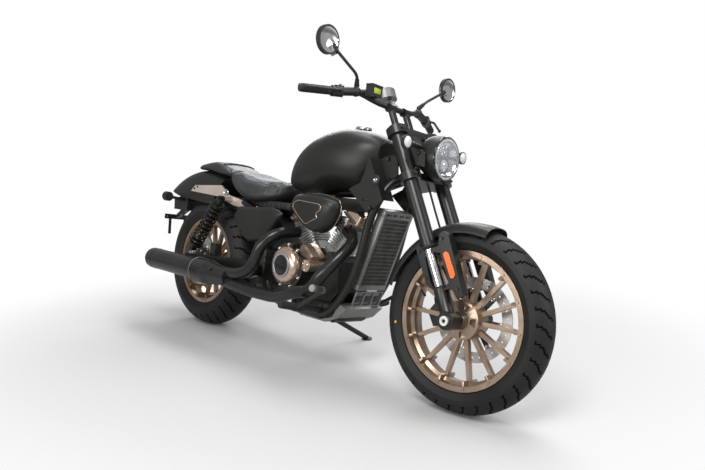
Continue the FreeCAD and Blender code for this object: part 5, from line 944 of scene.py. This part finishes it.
cover = surfaceOf("air_cleaner", leaned)
wire = bmesh.new()
line = airCleaner["outline"]
places = []
for (x0, z0), (x1, z1) in zip(line, line[1:] + line[:1]):
    steps = max(2, int(math.hypot(x1 - x0, z1 - z0) / 0.006))
    for step in range(steps):
        x, z = x0 + (x1 - x0) * step / steps, z0 + (z1 - z0) * step / steps
        hit = cover.ray_cast(Vector((x, -0.4, z)), Vector((0, 1, 0)))[0]
        if hit:
            places.append(hit)
tubeMesh(wire, places, airCleaner["wire"], resolution=3, closed=True)
newPiece("airCleanerOutline", wire, leaned, "bronzePlate", "chassis", loose=True)
rimLine = bmesh.new()
corners = [spot(x, -airCleaner["rimFace"], z) for x, z in airCleaner["cover"]]
middle = sum(corners, Vector()) / len(corners)
loop = bpy.data.curves.new("loop", "CURVE")
loop.dimensions = "3D"
loop.bevel_depth = airCleaner["rimWire"]
loop.bevel_resolution = 2
smoothLine = loop.splines.new("BEZIER")
smoothLine.bezier_points.add(len(corners) - 1)
smoothLine.use_cyclic_u = True
smoothLine.resolution_u = 12
for dot, corner in zip(smoothLine.bezier_points, corners):
    dot.co = middle + (corner - middle) * airCleaner["rimSpread"]
    dot.handle_left_type = dot.handle_right_type = "AUTO"
holder = addObject("loop", loop)
bpy.context.view_layer.update()
rimLine.from_mesh(meshOf(holder))
bpy.data.objects.remove(holder)
newPiece("airCleanerRim", rimLine, leaned, "bronzePlate", "chassis", loose=True)
print("air cleaner ready")

# seats: padded by a cloth simulation, then sewn

seats = {
    "rider": {"node": "rider_seat", "shrink": 0.004, "cap": 0.009, "voxel": 0.006, "pins": -0.35,
              "edge": [(0.205, 0.0), (0.215, 0.062), (0.25, 0.095), (0.32, 0.108), (0.4, 0.106), (0.46, 0.09),
                       (0.495, 0.062), (0.51, 0.0)],
              "pleats": [(0.285, 0.07), (0.315, 0.075), (0.345, 0.075), (0.375, 0.072)], "deep": 0.003},
    "pillion": {"node": "pillion_seat", "shrink": 0.003, "cap": 0.007, "voxel": 0.006, "pins": -0.35,
                "edge": [(-0.115, 0.0), (-0.105, 0.045), (-0.07, 0.068), (0.0, 0.082), (0.08, 0.088),
                         (0.15, 0.09), (0.19, 0.085), (0.195, 0.0)],
                "pleats": [(0.02, 0.075), (0.045, 0.077)], "deep": 0.0028},
}
cloth = {"pressure": 4.0, "frames": 20, "mass": 0.3, "stiff": 12.0, "bending": 0.6}
sewing = {"channel": 0.0045, "bow": 0.022, "pleatGap": 0.0065, "strapX": 0.105, "strapHalf": 0.088}


def edgeHalf(size, x):  # half the width of the top panel at x
    line = size["edge"]
    for (x0, y0), (x1, y1) in zip(line, line[1:]):
        if x0 <= x <= x1:
            return y0 + (y1 - y0) * (x - x0) / (x1 - x0)
    return 0.0


def puff(name, size):
    shape = bmesh.new()
    shape.from_mesh(nodes[size["node"]].data)
    bmesh.ops.remove_doubles(shape, verts=shape.verts, dist=0.00002)
    shape.transform(leaned.inverted())
    mesh = bpy.data.meshes.new(name)
    shape.to_mesh(mesh)
    shape.free()
    pad = addObject(name, mesh)
    modify(pad, "REMESH", mode="VOXEL", voxel_size=size["voxel"])
    mesh = meshOf(pad)
    pad.modifiers.clear()
    shape = bmesh.new()
    shape.from_mesh(mesh)
    for turn in range(3):
        bmesh.ops.smooth_vert(shape, verts=shape.verts, factor=0.5, use_axis_x=True, use_axis_y=True,
                              use_axis_z=True)
    shape.normal_update()
    for vert in shape.verts:
        vert.co -= vert.normal * size["shrink"]
    shape.to_mesh(mesh)
    rest = [vert.co.copy() for vert in mesh.vertices]
    held = [vert.index for vert in mesh.vertices if vert.normal.z < size["pins"]]
    shape.free()
    pad.data = mesh
    group = pad.vertex_groups.new(name="held")
    group.add(held, 1.0, "REPLACE")
    bag = modify(pad, "CLOTH")
    bag.settings.mass = cloth["mass"]
    bag.settings.tension_stiffness = bag.settings.compression_stiffness = cloth["stiff"]
    bag.settings.bending_stiffness = cloth["bending"]
    bag.settings.vertex_group_mass = "held"
    bag.settings.use_pressure = True
    bag.settings.uniform_pressure_force = cloth["pressure"]
    bag.settings.effector_weights.gravity = 0
    bag.point_cache.frame_start, bag.point_cache.frame_end = 1, cloth["frames"]
    for frameNumber in range(1, cloth["frames"] + 1):
        bpy.context.scene.frame_set(frameNumber)
    swollen = meshOf(pad)
    pad.modifiers.clear()
    bpy.context.scene.frame_set(1)
    for vert, start in zip(swollen.vertices, rest):
        move = vert.co - start
        if move.length > size["cap"]:
            vert.co = start + move.normalized() * size["cap"]
    pad.data = swollen
    pad.vertex_groups.clear()
    shape = bmesh.new()
    shape.from_mesh(pad.data)
    bpy.data.objects.remove(pad)
    bmesh.ops.smooth_vert(shape, verts=shape.verts, factor=0.5, use_axis_x=True, use_axis_y=True,
                          use_axis_z=True)
    bmesh.ops.subdivide_edges(shape, edges=shape.edges, cuts=1, use_grid_fill=True, smooth=0.6)
    shape.normal_update()
    for vert in shape.verts:  # the sewn channels across the top and the seam round it
        x, y = vert.co.x, abs(vert.co.y)
        half = edgeHalf(size, x)
        if vert.normal.z < 0.3:
            continue
        sunk = 0.0
        for place, wide in size["pleats"]:
            bow = place - (y / wide) ** 2 * sewing["bow"]
            if y < wide:
                channel = math.exp(-((x - bow) / sewing["channel"]) ** 2)
                sunk = max(sunk, size["deep"] * channel * (1 - (y / wide) ** 4))
        if half:
            sunk = max(sunk, size["deep"] * 0.8 * math.exp(-((y - half) / sewing["channel"]) ** 2))
        vert.co -= vert.normal * sunk
    shape.normal_update()
    for face in shape.faces:
        middle = face.calc_center_median()
        face.material_index = 1 if face.normal.z > 0.2 and abs(middle.y) < edgeHalf(size, middle.x) else 0
    tree = BVHTree.FromBMesh(shape)
    piece = newPiece(name, shape, leaned, ["seatSide", "seatTop"], "chassis", smooth=60,
                     loose=True)
    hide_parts(size["node"])
    return tree


def onPad(tree, x, y, rise):  # a place on top of a pad
    hit = tree.ray_cast(Vector((x, y, 1.2)), Vector((0, 0, -1)))[0]
    return Vector((x, y, hit.z + rise)) if hit else None


def sewn(name, tree, lines, radius=0.0009, look="thread", stitch=0.0, rise=0.0003):
    shape = bmesh.new()
    for line in lines:
        places = [onPad(tree, x, y, rise) for x, y in line]
        places = [place for place in places if place]
        if len(places) < 3:
            continue
        if not stitch:
            tubeMesh(shape, places, radius, resolution=3)
            continue
        for start, end in zip(places, places[1:]):
            along = end - start
            for turn in range(max(1, int(along.length / stitch))):
                a = start + along * (turn * stitch / along.length)
                b = a + along.normalized() * stitch * 0.62
                addRod(shape, a, b, radius, steps=6)
    newPiece(name, shape, leaned, look, "chassis", loose=True)


for name, size in seats.items():
    tree = puff(name + "SeatPad", size)
    rims = []
    for side in (-1, 1):
        line = []
        for (x0, y0), (x1, y1) in zip(size["edge"], size["edge"][1:]):
            for step in range(6):
                share = step / 6
                line.append((x0 + (x1 - x0) * share, side * (y0 + (y1 - y0) * share)))
        line.append((size["edge"][-1][0], 0.0))
        rims.append(line)
    sewn(name + "SeatPiping", tree, rims, radius=0.0017, look="seatSide", rise=0.0006)
    inner = [[(x, y * 0.93) for x, y in line[2:-2]] for line in rims]
    sewn(name + "SeatStitches", tree, inner, radius=0.0006, stitch=0.0055)
    pleatLines = []
    for place, wide in size["pleats"]:
        for shift in (-sewing["pleatGap"], sewing["pleatGap"]):
            ys = [wide * 0.9 * (step / 12 * 2 - 1) for step in range(13)]
            pleatLines.append([(place + shift - (y / wide) ** 2 * sewing["bow"], y) for y in ys])
    sewn(name + "PleatStitches", tree, pleatLines, radius=0.0005, stitch=0.005)
    if name == "pillion":
        strap = bmesh.new()
        ys = [sewing["strapHalf"] * (step / 10 * 2 - 1) for step in range(11)]
        places = [onPad(tree, sewing["strapX"], y, 0.0006) for y in ys]
        places = [place for place in places if place]
        for dx in (-0.012, -0.006, 0, 0.006, 0.012):
            tubeMesh(strap, [place + Vector((dx, 0, 0)) for place in places], 0.0034, resolution=3)
        newPiece("pillionStrap", strap, leaned, "seatSide", "chassis", loose=True)
print("seats ready")

# head panels: a knob with a bright screw, a slot and two holes on each side

panelBits = {"face": 0.1288, "knob": (1.1523, 0.7706), "slot": (1.1019, 0.695), "hole": (1.1404, 0.6672),
             "cheek": (1.148, 0.857), "cheekFace": 0.0684}
knobs, darkSpots, brightSpots = bmesh.new(), bmesh.new(), bmesh.new()
for side in (-1, 1):
    face = side * panelBits["face"]
    x, z = panelBits["knob"]
    addLathe(knobs, [(0, face + side * 0.0035), (0.011, face + side * 0.0035), (0.013, face + side * 0.006),
                     (0.0165, face + side * 0.0062), (0.0195, face + side * 0.0035),
                     (0.0195, face - side * 0.001), (0, face - side * 0.001)],
             Matrix.Translation((x, 0, z)), steps=40, axis=(0, 1, 0))
    addBolt(brightSpots, (x, face + side * 0.0034, z), (0, side, 0), 0.0065)
    x, z = panelBits["slot"]
    addBox(darkSpots, (x, face, z), (0.024, 0.0012, 0.008), bevel=0.0005)
    for (x, z), wide, y in ((panelBits["hole"], 0.0065, face),
                            (panelBits["cheek"], 0.0075, side * panelBits["cheekFace"])):
        addBolt(darkSpots, (x, y, z), (0, side, 0), wide)
newPiece("panelKnobs", knobs, leaned, "blackPlastic", "chassis")
# the slot and holes are raised gloss black shapes: painted shade standing for their openings
newPiece("panelHoles", darkSpots, leaned, "glossBlack", "chassis")
newPiece("panelScrews", brightSpots, leaned, "brightSteel", "chassis")

# headlight brackets: two bolts on each plate

bracketBolts = bmesh.new()
for side in (-1, 1):
    for x, z in ((1.3011, 0.8787), (1.3001, 0.8264)):
        addBolt(bracketBolts, (x, side * 0.0914, z), (0, side, 0), 0.006)
newPiece("bracketBolts", bracketBolts, steered, "glossBlack", "steering")

# muffler: a rim at the sleeve's end, two bands and the exhaust's bolts

muffler = {"start": (0.32895, -0.222, 0.297), "sleeve": 0.057, "sleeveLong": 0.132, "can": 0.05,
           "bands": (0.152, 0.5)}
mufflerSpace = leaned @ Matrix.Translation(muffler["start"]) @ Matrix.Rotation(math.radians(-90), 4, "Y")
rim, band = bmesh.new(), bmesh.new()
sleeve, sleeveLong = muffler["sleeve"], muffler["sleeveLong"]
lathe(rim, [(sleeve - 0.004, sleeveLong - 0.0005), (sleeve - 0.0005, sleeveLong + 0.0012),
            (sleeve + 0.0012, sleeveLong - 0.0002), (sleeve + 0.0014, sleeveLong - 0.003),
            (sleeve - 0.0004, sleeveLong - 0.0042)], steps=72, axis=(0, 0, 1))
newPiece("mufflerRim", rim, mufflerSpace, "greyAlloy", "chassis")
can = muffler["can"]
for place in muffler["bands"]:
    lathe(band, [(can - 0.0006, place - 0.005), (can + 0.0011, place - 0.0042),
                 (can + 0.0011, place + 0.0042), (can - 0.0006, place + 0.005)], steps=72, axis=(0, 0, 1))
newPiece("mufflerBands", band, mufflerSpace, "exhaustBlack", "chassis")
clampBolts = bmesh.new()
mufflerY = muffler["start"][1]
addBolt(clampBolts, (0.352, mufflerY - 0.046, 0.322), (0, -1, 0.35), 0.006)
addBolt(clampBolts, (0.43, mufflerY - 0.0235, 0.268), (0, -1, 0.2), 0.005)
newPiece("exhaustBolts", clampBolts, leaned, "darkAlloy", "chassis")

# fender struts: a silver boss with a hexagon, and two small holes at the tip

strut = {"face": 0.1052, "boss": (0.118, 0.664), "bossRadius": 0.0125,
         "holes": ((-0.066, 0.668), (-0.05, 0.679)), "holeRadius": 0.0042}
strutBits, strutHoles = bmesh.new(), bmesh.new()
for side in (-1, 1):
    face = side * strut["face"]
    x, z = strut["boss"]
    addBolt(strutBits, spot(x, face, z), (0, side, 0), strut["bossRadius"])
    for x, z in strut["holes"]:
        addBolt(strutHoles, spot(x, face, z), (0, side, 0), strut["holeRadius"])
newPiece("strutBosses", strutBits, leaned, "brightSteel", "chassis")
# the holes are raised gloss black discs: painted shade standing for their openings
newPiece("strutHoles", strutHoles, leaned, "glossBlack", "chassis")

# pegs: ribbed sleeves, and a pale end on each pedal

peg = {"core": 0.0125, "crest": 0.0152, "valley": 0.0138, "ribs": 12}
pegSleeves, pedalEnds = bmesh.new(), bmesh.new()
for side in (-1, 1):
    root, end = spot(0.6, side * 0.114, 0.24), spot(0.59, side * 0.31, 0.265)
    along = end - root
    long, core, crest, valley = along.length, peg["core"], peg["crest"], peg["valley"]
    profile = [(core, long * 0.42)]
    pitch = long * 0.5 / peg["ribs"]
    for rib in range(peg["ribs"]):
        low = long * 0.44 + pitch * rib
        profile += [(crest, low), (crest, low + pitch * 0.55), (valley, low + pitch * 0.65),
                    (valley, low + pitch * 0.95)]
    profile += [(crest, long * 0.95), (crest, long * 0.975), (core, long * 0.978)]
    addLathe(pegSleeves, profile, alongZ(root, along), steps=28)
    toe, tip = spot(0.69, side * 0.235, 0.343), spot(0.7, side * 0.31, 0.355)
    along = (tip - toe).normalized()
    addRod(pedalEnds, tip - along * 0.012, tip + along * 0.0008, 0.0136, 0.0128)
    addRod(pedalEnds, toe + along * 0.012, toe + along * 0.02, 0.0136, 0.0136)
newPiece("pegSleeves", pegSleeves, leaned, "rubber", "chassis")
newPiece("pedalEnds", pedalEnds, leaned, "greyAlloy", "chassis")

# tail: a ribbed red lens, and the rear signals' lenses and rims

tail = {"lens": [(-0.24, 0.6), (-0.235, 0.548)], "half": 0.05, "rows": 7}
lens, rows = bmesh.new(), tail["rows"]
top, foot = (spot(x, 0, z) for x, z in tail["lens"])
down = foot - top
for row in range(rows):
    middle = top + down * ((row + 0.5) / rows)
    addBox(lens, (middle.x - 0.0012, 0, middle.z), (0.0048, tail["half"] * 2, down.length / rows * 0.86),
           bevel=0.0012)
newPiece("tailLens", lens, leaned, "redLens", "chassis")
rear, shades = bmesh.new(), bmesh.new()
for side in (-1, 1):
    tip = spot(-0.188, side * (0.098 + 0.024 * 1.8), 0.612)
    turn = Matrix.Translation(tip - Vector((0.014, 0, 0))) @ Matrix.Rotation(math.radians(-90), 4, "Y")
    addLathe(rear, [(0, 0.0068), (0.009, 0.0062), (0.0165, 0.0042), (0.0205, 0.0), (0, 0.0)], turn, steps=36)
    addLathe(shades, [(0.0205, -0.001), (0.0245, -0.001), (0.0247, 0.002), (0.0228, 0.0034), (0.0205, 0.002)],
             turn, steps=36)
newPiece("rearSignalLenses", rear, leaned, "orangeLens", "chassis")
newPiece("rearSignalRims", shades, leaned, "blackPlastic", "chassis")

# tank: the filler cap's ring and flap

capSpot = spot(0.61, 0, 0.977)
ring = bmesh.new()
lathe(ring, [(0.021, 0.0092), (0.0225, 0.0112), (0.031, 0.0112), (0.0325, 0.0095), (0.0328, 0.002),
             (0.021, 0.002)], steps=64, axis=(0, 0, 1))
newPiece("capRing", ring, leaned @ Matrix.Translation(capSpot), "brushedRing", "chassis")
lid = bmesh.new()
addBox(lid, (0, 0, 0.0112), (0.03, 0.012, 0.004), bevel=0.0015)
newPiece("capFlap", lid, leaned @ Matrix.Translation(capSpot), "glossBlack", "chassis")

# between the cylinders: the throttle body and its clamps, with the plain castings and ribs round the engine

throttleBits = {"ends": ((0.5, -0.03, 0.668), (0.585, -0.03, 0.668)), "radius": 0.024, "clamp": 0.0256,
                "clampHalf": 0.003}
castings = {  # middle, size and rounding
    "intake": (spot(0.545, -0.03, 0.694), (0.07, 0.05, 0.022), 0.005),
    "bridge": (spot(0.545, 0.012, 0.68), (0.16, 0.05, 0.03), 0.006),
    "coilPack": ((0.95, -0.02, 0.672), (0.22, 0.07, 0.05), 0.008),
    "seatTray": ((0.42, 0, 0.634), (0.42, 0.17, 0.03), 0.004),
    "pivotPlate": ((0.519, 0, 0.345), (0.042, 0.23, 0.18), 0.008),
    "sump": ((0.865, -0.015, 0.242), (0.29, 0.17, 0.066), 0.012),
}
castRibs = {  # the middle of each rib, their size and rounding
    "seatTray": ([(0.235 + step * 0.033, 0, 0.634) for step in range(12)], (0.006, 0.176, 0.034), 0.001),
    "pivotPlate": ([(0.519, 0, z) for z in (0.285, 0.315, 0.375, 0.405)], (0.046, 0.236, 0.008), 0.002),
    "sump": ([(0.75 + step * 0.033, -0.015, 0.238) for step in range(8)], (0.008, 0.178, 0.07), 0.002),
}
throttle, clamps = bmesh.new(), bmesh.new()
start, end = (spot(*place) for place in throttleBits["ends"])
addRod(throttle, start, end, throttleBits["radius"], steps=32)
for name, (middle, size, bevel) in castings.items():
    addBox(throttle, middle, size, bevel=bevel)
    if name in castRibs:
        middles, size, bevel = castRibs[name]
        for middle in middles:
            addBox(throttle, middle, size, bevel=bevel)
for share in (0.1, 0.9):
    middle, reach = start.lerp(end, share), Vector((throttleBits["clampHalf"], 0, 0))
    addRod(clamps, middle - reach, middle + reach, throttleBits["clamp"], steps=32)
newPiece("throttleBody", throttle, leaned, "darkAlloy", "chassis")
newPiece("throttleClamps", clamps, leaned, "brightSteel", "chassis")
print("small pieces ready")

# floor, backdrop and lights

# tone is the darker grey the camera sees on the floor round the machine: a painted shadow pool, which fade
# turns to white further out
stageSizes = {"floor": 60.0, "tone": 0.52, "bounce": 0.4, "fade": (1.0, 2.1), "sky": 0.38}


def paleMaterial(name):  # grey round the machine, a painted shadow pool over the rendered shadows, and white further out, where only the camera sees it
    material = bpy.data.materials.new(name)
    material.use_nodes = True
    tree, make = nodeMaker(material)
    shader = tree.nodes["Principled BSDF"]
    tone = stageSizes["tone"]
    seenTone = make("ShaderNodeMix", data_type="RGBA")
    seenTone.inputs["A"].default_value = (stageSizes["bounce"],) * 3 + (1,)
    seenTone.inputs["B"].default_value = (tone,) * 3 + (1,)
    tree.links.new(seenTone.outputs["Result"], shader.inputs["Base Color"])
    shader.inputs["Roughness"].default_value = 0.9
    shader.inputs["Specular IOR Level"].default_value = 0.1
    place = make("ShaderNodeTexCoord")
    out = make("ShaderNodeVectorMath", operation="LENGTH")
    tree.links.new(place.outputs["Object"], out.inputs[0])
    fade = make("ShaderNodeMapRange", interpolation_type="SMOOTHSTEP")
    fade.inputs["From Min"].default_value, fade.inputs["From Max"].default_value = stageSizes["fade"]
    tree.links.new(out.outputs["Value"], fade.inputs["Value"])
    path = make("ShaderNodeLightPath")
    seen = make("ShaderNodeMath", operation="MAXIMUM")
    tree.links.new(path.outputs["Is Camera Ray"], seen.inputs[0])
    tree.links.new(path.outputs["Is Transmission Ray"], seen.inputs[1])
    tree.links.new(seen.outputs["Value"], seenTone.inputs["Factor"])
    both = make("ShaderNodeMath", operation="MULTIPLY")
    tree.links.new(fade.outputs["Result"], both.inputs[0])
    tree.links.new(seen.outputs["Value"], both.inputs[1])
    white = make("ShaderNodeEmission")
    mix = make("ShaderNodeMixShader")
    tree.links.new(both.outputs["Value"], mix.inputs["Fac"])
    tree.links.new(shader.outputs["BSDF"], mix.inputs[1])
    tree.links.new(white.outputs["Emission"], mix.inputs[2])
    tree.links.new(mix.outputs["Shader"], tree.nodes["Material Output"].inputs["Surface"])
    return material


floorShape = bmesh.new()
bmesh.ops.create_grid(floorShape, x_segments=1, y_segments=1, size=stageSizes["floor"] / 2)
floorMesh = bpy.data.meshes.new("floor")
floorShape.to_mesh(floorMesh)
floorShape.free()
floorMesh.materials.append(paleMaterial("floorPale"))
floor = addObject("floor", floorMesh)

world = bpy.data.worlds.new("softSky")
bpy.context.scene.world = world
world.use_nodes = True
worldTree, make = nodeMaker(world)
sky = worldTree.nodes["Background"]
sky.inputs["Color"].default_value = (1, 1, 1, 1)
sky.inputs["Strength"].default_value = stageSizes["sky"]
whiteSky = make("ShaderNodeBackground", Color=(1, 1, 1, 1), Strength=1.0)
path = make("ShaderNodeLightPath")
mixSky = make("ShaderNodeMixShader")
anyDirect = make("ShaderNodeMath", operation="MAXIMUM")
worldTree.links.new(path.outputs["Is Camera Ray"], anyDirect.inputs[0])
worldTree.links.new(path.outputs["Is Transmission Ray"], anyDirect.inputs[1])
worldTree.links.new(anyDirect.outputs["Value"], mixSky.inputs["Fac"])
worldTree.links.new(sky.outputs["Background"], mixSky.inputs[1])
worldTree.links.new(whiteSky.outputs["Background"], mixSky.inputs[2])
worldTree.links.new(mixSky.outputs["Shader"], worldTree.nodes["World Output"].inputs["Surface"])

lamps = {
    "keyLamp": {"spot": (1.6, -2.6, 3.8), "aim": (0.0, 0.0, 0.5), "power": 120, "size": (1.8, 1.8)},
    "sideStrip": {"spot": (0.2, -3.6, 1.5), "aim": (0.0, 0.0, 0.6), "power": 50, "size": (3.0, 0.5)},
    "fillLamp": {"spot": (3.8, 1.0, 2.2), "aim": (0.2, 0.0, 0.5), "power": 60, "size": (1.4, 1.4)},
    "rimLamp": {"spot": (-2.2, 2.6, 2.6), "aim": (0.0, 0.0, 0.7), "power": 80, "size": (3.0, 1.2)},
    "topLamp": {"spot": (0.3, 0.9, 3.9), "aim": (0.0, 0.0, 0.5), "power": 95, "size": (3.6, 1.2)},
}
for name, lamp in lamps.items():
    light = bpy.data.lights.new(name, "AREA")
    light.energy = lamp["power"]
    light.shape = "RECTANGLE"
    light.size, light.size_y = lamp["size"]
    holder = addObject(name, light)
    holder.location = lamp["spot"]
    holder.rotation_euler = (Vector(lamp["aim"]) - Vector(lamp["spot"])).to_track_quat("-Z", "Y").to_euler()

bpy.context.scene.view_settings.view_transform = "Standard"

print("scene ready")
